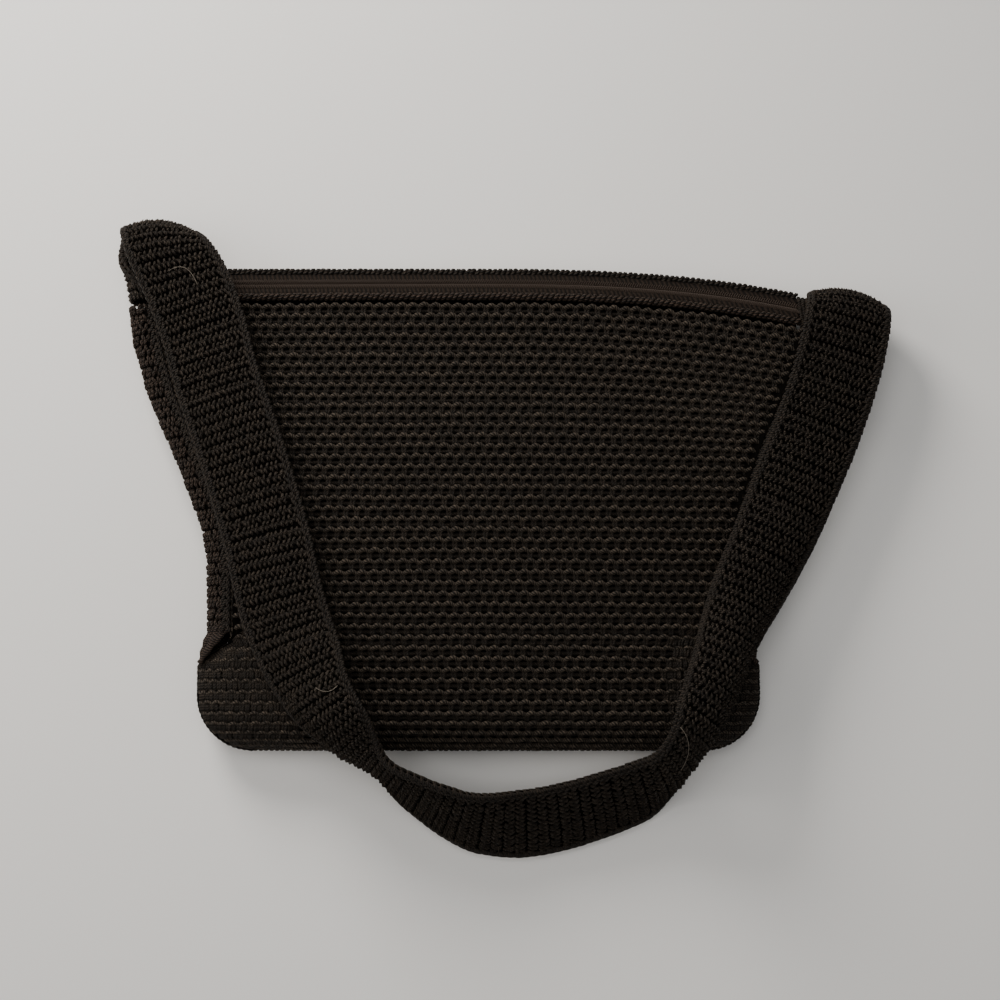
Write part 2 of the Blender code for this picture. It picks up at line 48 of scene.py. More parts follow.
# The solid part's sizes, in metres
HALF_WIDTH = 0.1355
HALF_LENGTH = 0.1145
HEIGHT = 0.036
WALL = 0.0035
SEAM_HEIGHT = 0.014
EDGE_RADIUS = 0.020
CORNER_RADIUS = 0.027
EDGE_LIP = 0.002
SEAM_OPENING = 0.0015
NOTCH_Y = -0.0605
NOTCH_RUN = 0.014
NOTCH_GAP = 0.0022
MOUTH_Y = 0.1043
MOUTH_DROP = 0.0125
MOUTH_DROP_POWER = 2.6
MOUTH_ENDS = (-0.148, 0.1585)
FRONT_BORDER_RADIUS = 0.0021
BACK_BORDER_RADIUS = 0.0023
CHAIN_WIDTH = 0.0057
CHAIN_THICKNESS = 0.0024
TAPE_THICKNESS = 0.0009
MOUTH_DEPTH = 0.018
BACK_BORDER_Z = 0.0093
BACK_EDGE_RISE = 0.006
BACK_EDGE_SET = 0.0038
BACK_CURL = 0.012
BACK_CORNER_SHARE = 0.12
BORDER_SET = 0.0005
BAND_THICKNESS = 0.004
GUSSET_WIDTH = 0.036
STRAP_WIDTH = 0.042
GUSSET_BACK_Z = 0.0035
GUSSET_TOP = {"left": 0.104, "right": 0.066}
SEAM_GAP = 0.0010
CLEARANCE = 0.0003
REST_CLEARANCE = 0.0018
SQUARE_END = 0.036
STRAP_START = 0.0019
REST_FROM = 0.080
GUSSET_REACH = 0.0144
BAND_COLUMNS = 6
BAND_STEP = 0.0085
SUBSTEPS = 24
FLAT_ANGLE = 0.02
HALVINGS = 40
DROP_PASSES = 4
LIFT_PASSES = 6

# Places up the body as shares of HALF_LENGTH, half widths of HALF_WIDTH, and heights of HEIGHT
BODY_COLUMNS = ("up", "left", "right", "seam", "crown")
BODY_SECTIONS = [
    (-1.00, 0.850, 0.850, 0.80, 0.96),
    (-0.53, 0.862, 0.856, 0.79, 1.00),
    (-0.12, 0.880, 0.893, 0.77, 0.98),
    (0.22, 0.985, 0.989, 0.72, 0.90),
    (0.57, 1.108, 1.114, 0.64, 0.77),
    (0.91, 1.174, 1.203, 0.55, 0.63),
]

# The strap's middle line: across and up as shares of HALF_WIDTH and HALF_LENGTH, lift as a share of HEIGHT.
# turn is the plan angle of its width, bank the width's tilt, and curl half the angle of its bowed section.
STRAP_COLUMNS = ("across", "up", "lift", "turn", "bank", "curl")
STRAP_SECTIONS = [
    (-1.195, 0.985, 0.385, 0, -64, 100),
    (-1.205, 1.055, 0.350, 0, -36, 70),
    (-1.195, 1.125, 0.260, 0, -12, 36),
    (-1.180, 1.170, 0.230, -2, 0, 24),
    (-1.175, 1.208, 0.345, -5, 0, 34),
    (-1.170, 1.218, 0.510, -7, 0, 40),
    (-1.158, 1.200, 0.680, -2, 0, 32),
    (-1.128, 1.137, 0.785, 7, 0, 16),
    (-1.077, 1.030, 0.790, 16, 1, 8),
    (-1.026, 0.895, 0.785, 19, 4, 6),
    (-0.978, 0.734, 0.730, 18, 6, 8),
    (-0.938, 0.566, 0.700, 17, 8, 10),
    (-0.834, 0.223, 0.740, 17, 9, 12),
    (-0.738, -0.137, 0.800, 14, 9, 12),
    (-0.710, -0.284, 0.820, 13, 9, 12),
    (-0.671, -0.446, 0.840, 17, 10, 16),
    (-0.613, -0.611, 0.860, 22, 15, 30),
    (-0.535, -0.795, 0.880, 29, 32, 52),
    (-0.443, -0.917, 0.900, 35, 48, 56),
    (-0.380, -1.004, 0.750, 40, 70, 36),
    (-0.337, -1.060, 0.680, 45, 79, 20),
    (-0.282, -1.123, 0.640, 51, 73, 20),
    (-0.206, -1.186, 0.600, 57, 65, 16),
    (-0.098, -1.255, 0.560, 67, 57, 14),
    (-0.005, -1.297, 0.520, 79, 49, 12),
    (0.148, -1.302, 0.460, 91, 41, 12),
    (0.288, -1.275, 0.460, 98, 42, 12),
    (0.430, -1.226, 0.480, 102, 44, 12),
    (0.580, -1.158, 0.520, 109, 48, 16),
    (0.652, -1.083, 0.600, 119, 59, 38),
    (0.698, -0.975, 0.720, 134, 62, 62),
    (0.764, -0.805, 0.840, 147, 42, 84),
    (0.823, -0.650, 0.860, 152, 32, 86),
    (0.883, -0.489, 0.860, 154, 23, 72),
    (0.933, -0.370, 0.860, 155, 18, 58),
    (1.004, -0.205, 0.850, 155, 12, 46),
    (1.069, -0.045, 0.840, 156, 9, 34),
    (1.131, 0.125, 0.830, 157, 7, 22),
    (1.194, 0.296, 0.825, 158, 6, 16),
    (1.248, 0.469, 0.830, 160, 4, 10),
    (1.295, 0.643, 0.835, 162, 3, 6),
    (1.324, 0.793, 0.820, 164, 1, 10),
    (1.340, 0.876, 0.720, 167, 0, 24),
    (1.345, 0.915, 0.530, 169, 0, 38),
    (1.348, 0.902, 0.340, 167, 0, 34),
    (1.345, 0.850, 0.270, 163, -10, 40),
    (1.305, 0.800, 0.365, 160, -34, 74),
    (1.238, 0.735, 0.385, 164, -60, 104),
    (1.172, 0.650, 0.360, 175, -78, 114),
]

# The panels' crochet: rows and stitches as counted in the photograph, with one ridge of yarn a row
ROW_PITCH = 0.0051
FIRST_RIDGE = 0.62
STITCH_PITCH = 0.0055
RIDGE_RADIUS = 0.00114
RIDGE_WAVE = 0.00052
RIDGE_BULGE = 0.00030
RIDGE_SWELL = 0.12
SWELL_LAG = 0.8

# The strand behind the holes, and the two legs below each stitch, in metres or as shares of a row or a stitch
BACK_LOOP_RADIUS = 0.00100
BACK_LOOP_DEPTH = 0.00150
BACK_LOOP_BULGE = 0.00020
BACK_LOOP_BELOW = 0.52
BACK_LOOP_WAVE = 0.6
LEG_RADIUS = 0.00076
LEG_DEPTH = 0.00070
LEG_BOW = 0.00025
LEG_DIP = 0.00050
LEG_TOP = 0.10
LEG_FOOT = 0.98
LEG_SPREAD = 0.16
LEG_MEET = 0.07
LEG_PAIR = (-1.0, 1.0)
FABRIC_DEPTH = 0.0030
PANEL_WEAR = {
    "stagger": 0.20, "stitch": 0.10, "sway": 0.00032, "heave": 0.00025, "lean": 0.07, "leg": 0.00025,
}

# The bottom corners, where ridges lie deeper and thinner and two more legs fill each hole
CORNER_FROM = 0.088
CORNER_BLEND = 0.006
CORNER_START = 0.004
CORNER_SINK = 0.00045
CORNER_THIN = 0.22
CORNER_LEGS = (-1.0, 1.0, 2.6, 3.6)
CORNER_LEG_LIFT = 0.00028

# The bands' crochet: rows of short slanted stitches in two lines
BAND_ROW = 0.0054
BAND_LINE = 0.215
BAND_STITCH = 0.0025
BAND_STITCH_LENGTH = 0.0025
BAND_RADIUS = 0.00086
BAND_SLANT = 0.30
BAND_LEAD = 0.25
BAND_BULGE = 0.00018
BAND_DIP = 0.00085
BAND_TAPER = 0.28
BAND_LOOP_DEPTH = 0.00130
BAND_LOOP_WAVE = 0.00030
BAND_WEAR = {
    "row": 0.06, "row_lift": 0.00030, "place": 0.22, "length": 0.0006,
    "lift": 0.00020, "lean": 1.3, "radius": 0.10,
}

# The chain along a band's edges: two columns of stitches that start near and end far off the edge
BAND_EDGING = 0.0036
CHAIN_STITCH = 0.0036
CHAIN_LAP = (-0.15, 1.20)
EDGING_RADIUS = 0.00088
EDGING_LIFT = 0.00025
EDGING_DIP = 0.0007
EDGING_COLUMNS = (
    {"near": 0.00035, "far": 0.0021, "tuck": 0.0009},
    {"near": 0.0039, "far": 0.0021, "tuck": 0.0004},
)
EDGING_WEAR = {"place": 0.00018, "start": 0.08}

# The rope-like stitches round the mouth and along the seams
ROPE_LEAD = 0.0052
ROPE_WEAR = {"turn": 0.35, "swell": 0.12}
BORDER_YARN = 0.00098
SEAM_ROPE_RADIUS = 0.0016
SEAM_ROPE_SET = 0.0012
SEAM_ROPE_LAP = 0.0008
GUSSET_ROPE_RADIUS = 0.0015
GUSSET_ROPE_OUT = 0.0003
GUSSET_ROPE_DEPTH = 0.0026
GUSSET_ROPE_LAP = 0.0010

# The strands that close the corner below each gusset, and the gathers beside them
CLOSING_COUNT = 17
CLOSING_RADIUS = 0.00115
CLOSING_SWELL = 0.28
CLOSING_KNOTS = 3.0
CLOSING_REACH = 0.0125
CLOSING_INSET = 0.0016
CLOSING_FAN = (-0.0045, 0.0075)
CLOSING_FROM = 0.004
CLOSING_RISE = 0.022
CLOSING_BOW = (0.0008, -0.0004)
CLOSING_WEAR = {"bow": 0.0005, "radius": 0.1}
GATHER_INSETS = (0.0010, 0.0180, 0.0021)
GATHER_LAP = (0.0060, 0.0020)
GATHER_DEPTH = 0.0030
GATHER_RADIUS = 0.00110

# The strands across each end of the mouth, and those from the front border down to the panel
END_STRANDS = 3
END_FIRST = 0.0010
END_PITCH = 0.0020
END_STEP_DOWN = 0.0010
END_SAG = 0.0012
END_RADIUS = 0.00120
END_SWELL = 0.25
END_KNOTS = 3.5
END_BELOW = (0.0005, -0.0110, -0.0042)

# The zip: two coils whose turns mesh along its middle, and the tapes' inner edges below them
COIL_PITCH = 0.00115
COIL_WIRE = 0.00025
COIL_MIDDLE = 0.00180
COIL_REACH = 0.00135
COIL_HALF_HEIGHT = 0.00075
COIL_LIFT = 0.0004
COIL_LEAN = 0.00080
COIL_STEPS = 8
TAPE_DROP = 0.0013
TAPE_TO_COIL = 0.0006
TAPE_UNDER_COIL = 0.0008

# How finely yarn is meshed: faces that show, and faces turned to the surface or to the front panel
FINE = {"ridge_steps": 6, "ridge_sides": 5, "leg_steps": 2, "leg_sides": 4}
PLAIN = {"ridge_steps": 3, "ridge_sides": 4, "leg_steps": 1, "leg_sides": 3}
BAND_FINE = {"stitch_steps": 3, "stitch_sides": 5}
BAND_PLAIN = {"stitch_steps": 2, "stitch_sides": 3}
EDGING_SIDES = 5
ROPE_STEPS = 10
ROPE_SIDES = 6
LOOP_SIDES = 4
GRID_STEP = 0.0013

# Real sizes of what the materials' patterns repeat, in millimetres, and a wave's scale for one repeat a unit
PLY_MM = 1.282
TUFT_MM = 0.5882
DYE_MM = 3.846
FELT_MM = 1.1111
HAIR_DYE_MM = 2.5
RIB_MM = 2.0944
DIE_MARK_MM = 0.6667
CASTING_MM = 1.1111
WAVE_UNIT = 2.0 * math.pi / 10.0

# The studio's lights: name, place, aim, size, power and colour
LIGHTS = (
    ("key_from_the_top_left", (-0.42, 0.70, 0.48), (-0.05, 0.0, 0.02), 0.45, 9.0, (1.0, 0.95, 0.89)),
    ("fill_from_the_left", (-1.0, -0.1, 0.7), (0.0, 0.0, 0.02), 0.9, 4.0, (1.0, 0.93, 0.86)),
    ("fill_from_above", (-0.1, 0.10, 1.3), (0.0, 0.0, 0.02), 1.0, 5.5, (1.0, 0.98, 0.95)),
)
WORLD_LIGHT = {"Color": (1.0, 1.0, 1.0, 1.0), "Strength": 0.24}

# The photograph's view, with its tilt in degrees and its lens in millimetres
CAMERA_TILT = 8.0
CAMERA_DISTANCE = 0.85
CAMERA_TARGET = (0.0104, 0.0059, 0.020)
CAMERA_LENS = 63.0

# Loose fibres on the strap, each by its start, bend and end seen from above
FIBRE_RADIUS = 0.00011
FIBRE_LIFT = 0.0005
LOOSE_FIBRES = [
    ((0.0930, -0.1040), (0.1010, -0.1130), (0.0945, -0.1240)),
    ((-0.1510, 0.1170), (-0.1420, 0.1230), (-0.1370, 0.1100)),
    ((-0.0740, -0.0860), (-0.0680, -0.0900), (-0.0640, -0.0850)),
]


def mix(a, b, share):
    return a + (b - a) * share


def smooth(share):
    share = min(max(share, 0.0), 1.0)
    return share * share * (3.0 - 2.0 * share)


def curve_through(before, start, end, after, share):
    """Catmull-Rom value between start and end."""
    square = share * share
    cube = square * share
    return 0.5 * (
        2.0 * start
        + (end - before) * share
        + (2.0 * before - 5.0 * start + 4.0 * end - after) * square
        + (3.0 * start - before - 3.0 * end + after) * cube
    )


def body_value(column, y):
    up = y / HALF_LENGTH
    rows = [dict(zip(BODY_COLUMNS, row)) for row in BODY_SECTIONS]
    index = 0
    while index < len(rows) - 2 and up > rows[index + 1]["up"]:
        index += 1
    first, second = rows[index], rows[index + 1]
    share = (up - first["up"]) / (second["up"] - first["up"])
    before = rows[max(index - 1, 0)][column]
    after = rows[min(index + 2, len(rows) - 1)][column]
    return curve_through(before, first[column], second[column], after, share)


def seam_x(y, side):
    return HALF_WIDTH * body_value(side, y)


def side_of(x):
    return "left" if x < 0.0 else "right"


def flare(y):
    """0 beside the gussets and 1 at the bottom corners, where front and back meet."""
    return smooth((NOTCH_Y - y) / NOTCH_RUN)


def edge_x(y, side):
    above_bottom = y + HALF_LENGTH
    inset = 0.0
    if above_bottom < CORNER_RADIUS:
        rise = CORNER_RADIUS - max(above_bottom, 0.0)
        inset = CORNER_RADIUS - math.sqrt(CORNER_RADIUS**2 - rise**2)
    return mix(seam_x(y, side), HALF_WIDTH - inset, flare(y))


def roundness(distance):
    out = 1.0 - min(max(distance / EDGE_RADIUS, 0.0), 1.0)
    return math.sqrt(1.0 - out * out)


def open_height(x, y):
    side = side_of(x)
    crown = HEIGHT * body_value("crown", y)
    seam = HEIGHT * body_value("seam", y)
    across = x / seam_x(y, side)
    return crown - (crown - seam) * across * across


def front_height(x, y):
    side = side_of(x)
    along = roundness(y + HALF_LENGTH)
    across = mix(1.0, roundness(edge_x(y, side) - abs(x)), flare(y))
    return SEAM_HEIGHT + (open_height(x, y) - SEAM_HEIGHT) * along * across


def dropped(x, y):
    """A row's place along the body: it falls back with the mouth towards the right end."""
    fall = MOUTH_DROP * (max(x, 0.0) / MOUTH_ENDS[1]) ** MOUTH_DROP_POWER
    return y - fall * smooth(y / MOUTH_Y)


def row_edge(y, side):
    edge = edge_x(y, side)
    if side == "left":
        return edge
    for _ in range(DROP_PASSES):
        edge = edge_x(dropped(edge, y), side)
    return edge


def gusset_section(y, side):
    """Middle and half angle of the bowed gusset between its two seams."""
    front = HEIGHT * body_value("seam", y) - WALL / 2.0
    chord = front - GUSSET_BACK_Z
    low, high = FLAT_ANGLE, math.pi
    for _ in range(HALVINGS):
        angle = 0.5 * (low + high)
        if math.sin(angle) / angle > chord / GUSSET_WIDTH:
            low = angle
        else:
            high = angle
    sign = -1.0 if side == "left" else 1.0
    middle = Vector((sign * (seam_x(y, side) + SEAM_GAP), y, GUSSET_BACK_Z + chord / 2.0))
    return middle, math.degrees(angle)


def height_below(x, y):
    """The highest thing that the strap may rest on at a place."""
    side = side_of(x)
    edge = edge_x(y, side)
    floor = CLEARANCE - REST_CLEARANCE
    if y < -HALF_LENGTH:
        return floor
    beyond = y - dropped(x, MOUTH_Y)
    if beyond > 0.0:
        if beyond > MOUTH_DEPTH + 2.0 * BACK_BORDER_RADIUS or abs(x) > edge:
            return floor
        return HEIGHT * body_value("crown", MOUTH_Y)
    if abs(x) <= edge:
        return front_height(x, y)
    if y < NOTCH_Y or y > GUSSET_TOP[side]:
        return floor
    out = (abs(x) - edge) / GUSSET_REACH
    if out > 1.0:
        return floor
    seam = HEIGHT * body_value("seam", y)
    return seam * (0.5 + 0.5 * math.sqrt(1.0 - out * out))


def arc_points(middle, width_way, outward, width, curl, columns=BAND_COLUMNS):
    """A bowed section of the band, from its front edge to its back edge."""
    angle = math.radians(curl)
    points = []
    for index in range(columns + 1):
        share = 1.0 - 2.0 * index / columns
        if angle < FLAT_ANGLE:
            points.append(middle - width_way * (0.5 * width * share))
            continue
        radius = width / (2.0 * angle)
        centre = middle - outward * (radius * math.cos(angle))
        here = angle * share
        points.append(centre + outward * (radius * math.cos(here)) - width_way * (radius * math.sin(here)))
    return points


def strap_line():
    """The strap's middle line and angles, in even steps along its length."""
    rows = []
    for section in STRAP_SECTIONS:
        row = dict(zip(STRAP_COLUMNS, section))
        place = Vector((row["across"] * HALF_WIDTH, row["up"] * HALF_LENGTH, row["lift"] * HEIGHT))
        rows.append((place, row["turn"], row["bank"], row["curl"]))
    for side, turn in (("left", 0.0), ("right", 180.0)):
        middle, angle = gusset_section(GUSSET_TOP[side], side)
        middle.y += STRAP_START
        end = (middle, turn, -90.0, angle)
        rows = [end] + rows if side == "left" else rows + [end]
    dense = []
    for index in range(len(rows) - 1):
        before = rows[max(index - 1, 0)]
        after = rows[min(index + 2, len(rows) - 1)]
        first, second = rows[index], rows[index + 1]
        for step in range(SUBSTEPS):
            share = step / SUBSTEPS
            place = curve_through(before[0], first[0], second[0], after[0], share)
            dense.append((place, *[mix(first[k], second[k], smooth(share)) for k in (1, 2, 3)]))
    dense.append(rows[-1])
    lengths = [0.0]
    for one, two in zip(dense, dense[1:]):
        lengths.append(lengths[-1] + (two[0] - one[0]).length)
    count = round(lengths[-1] / BAND_STEP)
    line = []
    index = 0
    for step in range(count + 1):
        goal = lengths[-1] * step / count
        while index < len(lengths) - 2 and lengths[index + 1] < goal:
            index += 1
        share = (goal - lengths[index]) / (lengths[index + 1] - lengths[index])
        one, two = dense[index], dense[index + 1]
        line.append([one[0].lerp(two[0], share)] + [mix(one[k], two[k], share) for k in (1, 2, 3)])
    return line


def strap_frames(line):
    frames = []
    last = len(line) - 1
    for index, (_, turn, bank, _) in enumerate(line):
        ahead = (line[min(index + 1, last)][0] - line[max(index - 1, 0)][0]).normalized()
        from_end = min(index, last - index) * BAND_STEP
        square = Vector((0.0, 1.0 if 2 * index < last else -1.0, 0.0))
        ahead = square.lerp(ahead, smooth(from_end / SQUARE_END))
        turn, bank = math.radians(turn), math.radians(bank)
        width_way = Vector((math.cos(turn) * math.cos(bank), math.sin(turn) * math.cos(bank), math.sin(bank)))
        frames.append((width_way, ahead.cross(width_way).normalized()))
    return frames


def strap_sections():
    """The strap's cross-sections, lifted where they would sink into what lies below them."""
    line = strap_line()
    frames = strap_frames(line)
    last = len(line) - 1
    sections = []
    lifts = []
    for index, (middle, _, _, curl) in enumerate(line):
        from_end = min(index, last - index) * BAND_STEP
        width = mix(GUSSET_WIDTH, STRAP_WIDTH, smooth(from_end / STRAP_WIDTH))
        points = arc_points(middle, *frames[index], width, curl)
        sections.append(points)
        rise = BAND_THICKNESS / 2.0 + REST_CLEARANCE
        lift = max(height_below(p.x, p.y) + rise - p.z for p in points)
        lifts.append(max(0.0, lift) if from_end > REST_FROM else 0.0)
    for _ in range(LIFT_PASSES):
        spread = [max(lifts[i], 0.5 * (lifts[i - 1] + lifts[i + 1])) for i in range(1, last)]
        lifts = [0.0] + spread + [0.0]
    for points, lift in zip(sections, lifts):
        for point in points:
            point.z = max(point.z + lift, BAND_THICKNESS / 2.0 + CLEARANCE)
    return sections


# Surfaces as grids of points: rows along the fabric, columns across it


def lengths_along(points):
    steps = np.linalg.norm(np.diff(points, axis=0), axis=1)
    return np.concatenate([[0.0], np.cumsum(steps)])


def evenly(points, count):
    """The same line with that many evenly spaced points."""
    lengths = lengths_along(points)
    goals = np.linspace(0.0, lengths[-1], count)
    return np.stack([np.interp(goals, lengths, points[:, k]) for k in range(3)], axis=1)


def evenly_in_halves(points, count):
    """The same line evenly divided on each side of its middle point, which stays where it is."""
    middle = len(points) // 2
    return np.concatenate([evenly(points[: middle + 1], count), evenly(points[middle:], count)[1:]])


def even_rows(grid, step):
    """The same surface with rows evenly spaced along its middle."""
    lengths = lengths_along(grid[:, grid.shape[1] // 2])
    count = int(round(lengths[-1] / step)) + 1
    goals = np.linspace(0.0, lengths[-1], count)
    places = np.interp(goals, lengths, np.arange(len(lengths)))
    low = np.minimum(places.astype(int), len(grid) - 2)
    share = (places - low)[:, None, None]
    return grid[low] * (1.0 - share) + grid[low + 1] * share


def refined(grid, times):
    """Extra rows between rows, on smooth curves through them."""
    rows = []
    last = len(grid) - 1
    for index in range(last):
        before, after = grid[max(index - 1, 0)], grid[min(index + 2, last)]
        for step in range(times):
            rows.append(curve_through(before, grid[index], grid[index + 1], after, step / times))
    rows.append(grid[last])
    return np.array(rows)


def eased(grid, passes):
    """A surface with small kinks along its length smoothed away."""
    grid = grid.copy()
    for _ in range(passes):
        grid[1:-1] = 0.25 * grid[:-2] + 0.5 * grid[1:-1] + 0.25 * grid[2:]
    return grid


def normals_of(grid, sign):
    along = np.gradient(grid, axis=0)
    across = np.gradient(grid, axis=1)
    normal = np.cross(across, along)
    return sign * normal / np.maximum(np.linalg.norm(normal, axis=2, keepdims=True), 1e-9)


def read(grid, t, u):
    """Values of a grid at places given in rows and columns."""
    t = np.clip(t, 0.0, grid.shape[0] - 1.0001)
    u = np.clip(u, 0.0, grid.shape[1] - 1.0001)
    row, column = t.astype(int), u.astype(int)
    down, right = (t - row)[..., None], (u - column)[..., None]
    upper = grid[row, column] * (1.0 - right) + grid[row, column + 1] * right
    lower = grid[row + 1, column] * (1.0 - right) + grid[row + 1, column + 1] * right
    return upper * (1.0 - down) + lower * down


def rolled_insets(steps):
    lip = EDGE_LIP / (HEIGHT - SEAM_HEIGHT)
    places = [(0.0, 0.0), (0.0, lip)]
    for index in range(1, steps + 1):
        angle = 0.5 * math.pi * index / steps
        places.append((EDGE_RADIUS * (1.0 - math.cos(angle)), lip + (1.0 - lip) * math.sin(angle)))
    return places


def panel_columns(y, side, rolled):
    edge = row_edge(y, side)
    blend = flare(y)
    columns = []
    for index, (inset, share) in enumerate(rolled):
        even = EDGE_RADIUS * index / (len(rolled) - 1)
        columns.append((edge - mix(even, inset, blend), mix(1.0, share, blend)))
    start = columns[-1][0]
    columns += [(mix(start, 0.0, index / 12.0), 1.0) for index in range(1, 13)]
    return columns


def panel_row(y, rolled):
    left = [(-x, share) for x, share in panel_columns(y, "left", rolled)]
    return left + panel_columns(y, "right", rolled)[-2::-1]


def front_grid(step):
    rolled = rolled_insets(12)
    places = [(inset - HALF_LENGTH, share) for inset, share in rolled]
    places += [(y, 1.0) for y in np.linspace(places[-1][0], MOUTH_Y, 110)[1:]]
    seam = SEAM_HEIGHT + SEAM_OPENING / 2.0
    rows = []
    for y, along in places:
        row = []
        for x, across in panel_row(y, rolled):
            place = dropped(x, y)
            row.append((x, place, seam + (open_height(x, place) - seam) * along * across))
        rows.append(evenly_in_halves(np.array(row), 71))
    return even_rows(np.array(rows), step)


def back_grid(step):
    rolled = rolled_insets(12)
    top = MOUTH_Y + MOUTH_DEPTH - BACK_EDGE_SET
    places = [(inset - HALF_LENGTH, share) for inset, share in rolled]
    places += [(y, 1.0) for y in np.linspace(places[-1][0], top, 120)[1:]]
    seam = SEAM_HEIGHT - SEAM_OPENING / 2.0
    rows = []
    for y, along in places:
        row = []
        for x, across in panel_row(min(y, MOUTH_Y), rolled):
            z = seam * (1.0 - along * across)
            beyond = y - MOUTH_Y
            if beyond > 0.0:
                end = MOUTH_ENDS[0] if x < 0.0 else MOUTH_ENDS[1]
                edge = row_edge(MOUTH_Y, side_of(x))
                corner = smooth((abs(x) - abs(end)) / (edge - abs(end)))
                beyond *= mix(1.0, BACK_CORNER_SHARE, corner)
                curl = max(0.0, beyond - (top - MOUTH_Y - BACK_CURL)) / BACK_CURL
                z = BACK_EDGE_RISE * curl * curl
            row.append((x, dropped(x, min(y, MOUTH_Y)) + max(beyond, 0.0), z))
        rows.append(evenly_in_halves(np.array(row), 71))
    return even_rows(np.array(rows), step)


def gusset_grid(side, step):
    sections = []
    outward = Vector((-1.0 if side == "left" else 1.0, 0.0, 0.0))
    for y in np.linspace(NOTCH_Y + NOTCH_GAP, GUSSET_TOP[side], 60):
        middle, angle = gusset_section(y, side)
        sections.append(arc_points(middle, Vector((0.0, 0.0, -1.0)), outward, GUSSET_WIDTH, angle, 24))
    return even_rows(np.array(sections), step)


def strap_grid(step):
    grid = np.array([[tuple(point) for point in section] for section in strap_sections()])
    grid = refined(grid, 6)
    grid = refined(grid.transpose(1, 0, 2), 4).transpose(1, 0, 2)
    grid = eased(grid, 12)
    return even_rows(grid, step)


# Yarn as tubes


def tube(path, up, radius, sides):
    """Vertices of a tube along a path, in rings, and the path's length up to each ring."""
    count = len(path)
    ahead = np.gradient(path, axis=0)
    ahead /= np.maximum(np.linalg.norm(ahead, axis=1, keepdims=True), 1e-9)
    side = np.cross(ahead, up)
    side /= np.maximum(np.linalg.norm(side, axis=1, keepdims=True), 1e-9)
    top = np.cross(side, ahead)
    turns = 2.0 * math.pi * np.arange(sides) / sides
    radius = np.broadcast_to(np.asarray(radius, float), (count,))[:, None, None]
    rings = path[:, None] + radius * (
        np.cos(turns)[None, :, None] * side[:, None] + np.sin(turns)[None, :, None] * top[:, None]
    )
    return rings.reshape(-1, 3), lengths_along(path)


def quads_of(count, sides):
    ring = np.arange(count - 1)[:, None] * sides
    here = np.arange(sides)[None, :]
    after = (here + 1) % sides
    corners = [ring + here, ring + after, ring + sides + after, ring + sides + here]
    return np.stack(corners, axis=-1).reshape(-1, 4)


class Yarns:
    """Collects tubes and makes one object of them."""

    def __init__(self):
        self.vertices = []
        self.faces = []
        self.corners = []
        self.total = 0

    def add(self, path, up, radius, sides):
        """One strand, with the way that its first ply faces given once or for each point."""
        points, lengths = tube(np.asarray(path), np.asarray(up), radius, sides)
        count = len(lengths)
        faces = quads_of(count, sides)
        around = np.arange(sides) / sides
        one = np.repeat(lengths[:-1], sides)
        two = np.repeat(lengths[1:], sides)
        low = np.tile(around, count - 1)
        high = low + 1.0 / sides
        self.corners.append(np.stack([low, one, high, one, high, two, low, two], axis=1).reshape(-1, 2))
        self.vertices.append(points)
        self.faces.append(faces + self.total)
        for first in (0, (count - 1) * sides):
            cap = self.total + first + np.arange(sides)
            self.faces.append(cap[::-1] if first == 0 else cap)
            self.corners.append(np.tile([[0.5, lengths[0 if first == 0 else -1]]], (sides, 1)))
        self.total += len(points)

    def build(self, name, material):
        faces = []
        for block in self.faces:
            faces += block.tolist() if block.ndim == 2 else [block.tolist()]
        obj = mesh_object(name, np.concatenate(self.vertices), faces, material)
        layer = obj.data.uv_layers.new(name="yarn")
        layer.data.foreach_set("uv", np.concatenate(self.corners).astype(np.float32).ravel())
        return obj


def mesh_object(name, vertices, faces, material):
    mesh = bpy.data.meshes.new(name)
    mesh.from_pydata(vertices.tolist(), [], faces)
    mesh.shade_smooth()
    mesh.materials.append(material)
    obj = bpy.data.objects.new(name, mesh)
    bpy.context.scene.collection.objects.link(obj)
    return obj


def surface_object(name, grid, material):
    rows, columns = grid.shape[:2]
    index = np.arange(rows * columns).reshape(rows, columns)
    faces = np.stack([index[:-1, :-1], index[:-1, 1:], index[1:, 1:], index[1:, :-1]], axis=-1).reshape(-1, 4)
    return mesh_object(name, grid.reshape(-1, 3), faces.tolist(), material)


def worn(count, amount):
    """Small uneven offsets, one for each stitch."""
    return chance.uniform(-amount, amount, count)


def across_row(grid, t_row):
    """A row's distances from its middle column, at each column."""
    here = read(grid, np.full(grid.shape[1], t_row), np.arange(grid.shape[1], dtype=float))
    lengths = lengths_along(here)
    return lengths - lengths[grid.shape[1] // 2]


def rows_of(grid, pitch):
    """How many rows of that pitch fit along a grid, its own number of steps, and its steps in a metre."""
    total = len(grid) - 1
    length = lengths_along(grid[:, grid.shape[1] // 2])[-1]
    count = int(round(length / pitch))
    return count, total, total / length


def in_bottom_corner(line):
    """How far points lie in a bottom corner of the bag, from 0 to 1."""
    across = np.clip((np.abs(line[:, 0]) - CORNER_FROM) / CORNER_BLEND, 0.0, 1.0)
    return across * np.clip((NOTCH_Y + CORNER_START - line[:, 1]) / CORNER_BLEND, 0.0, 1.0)


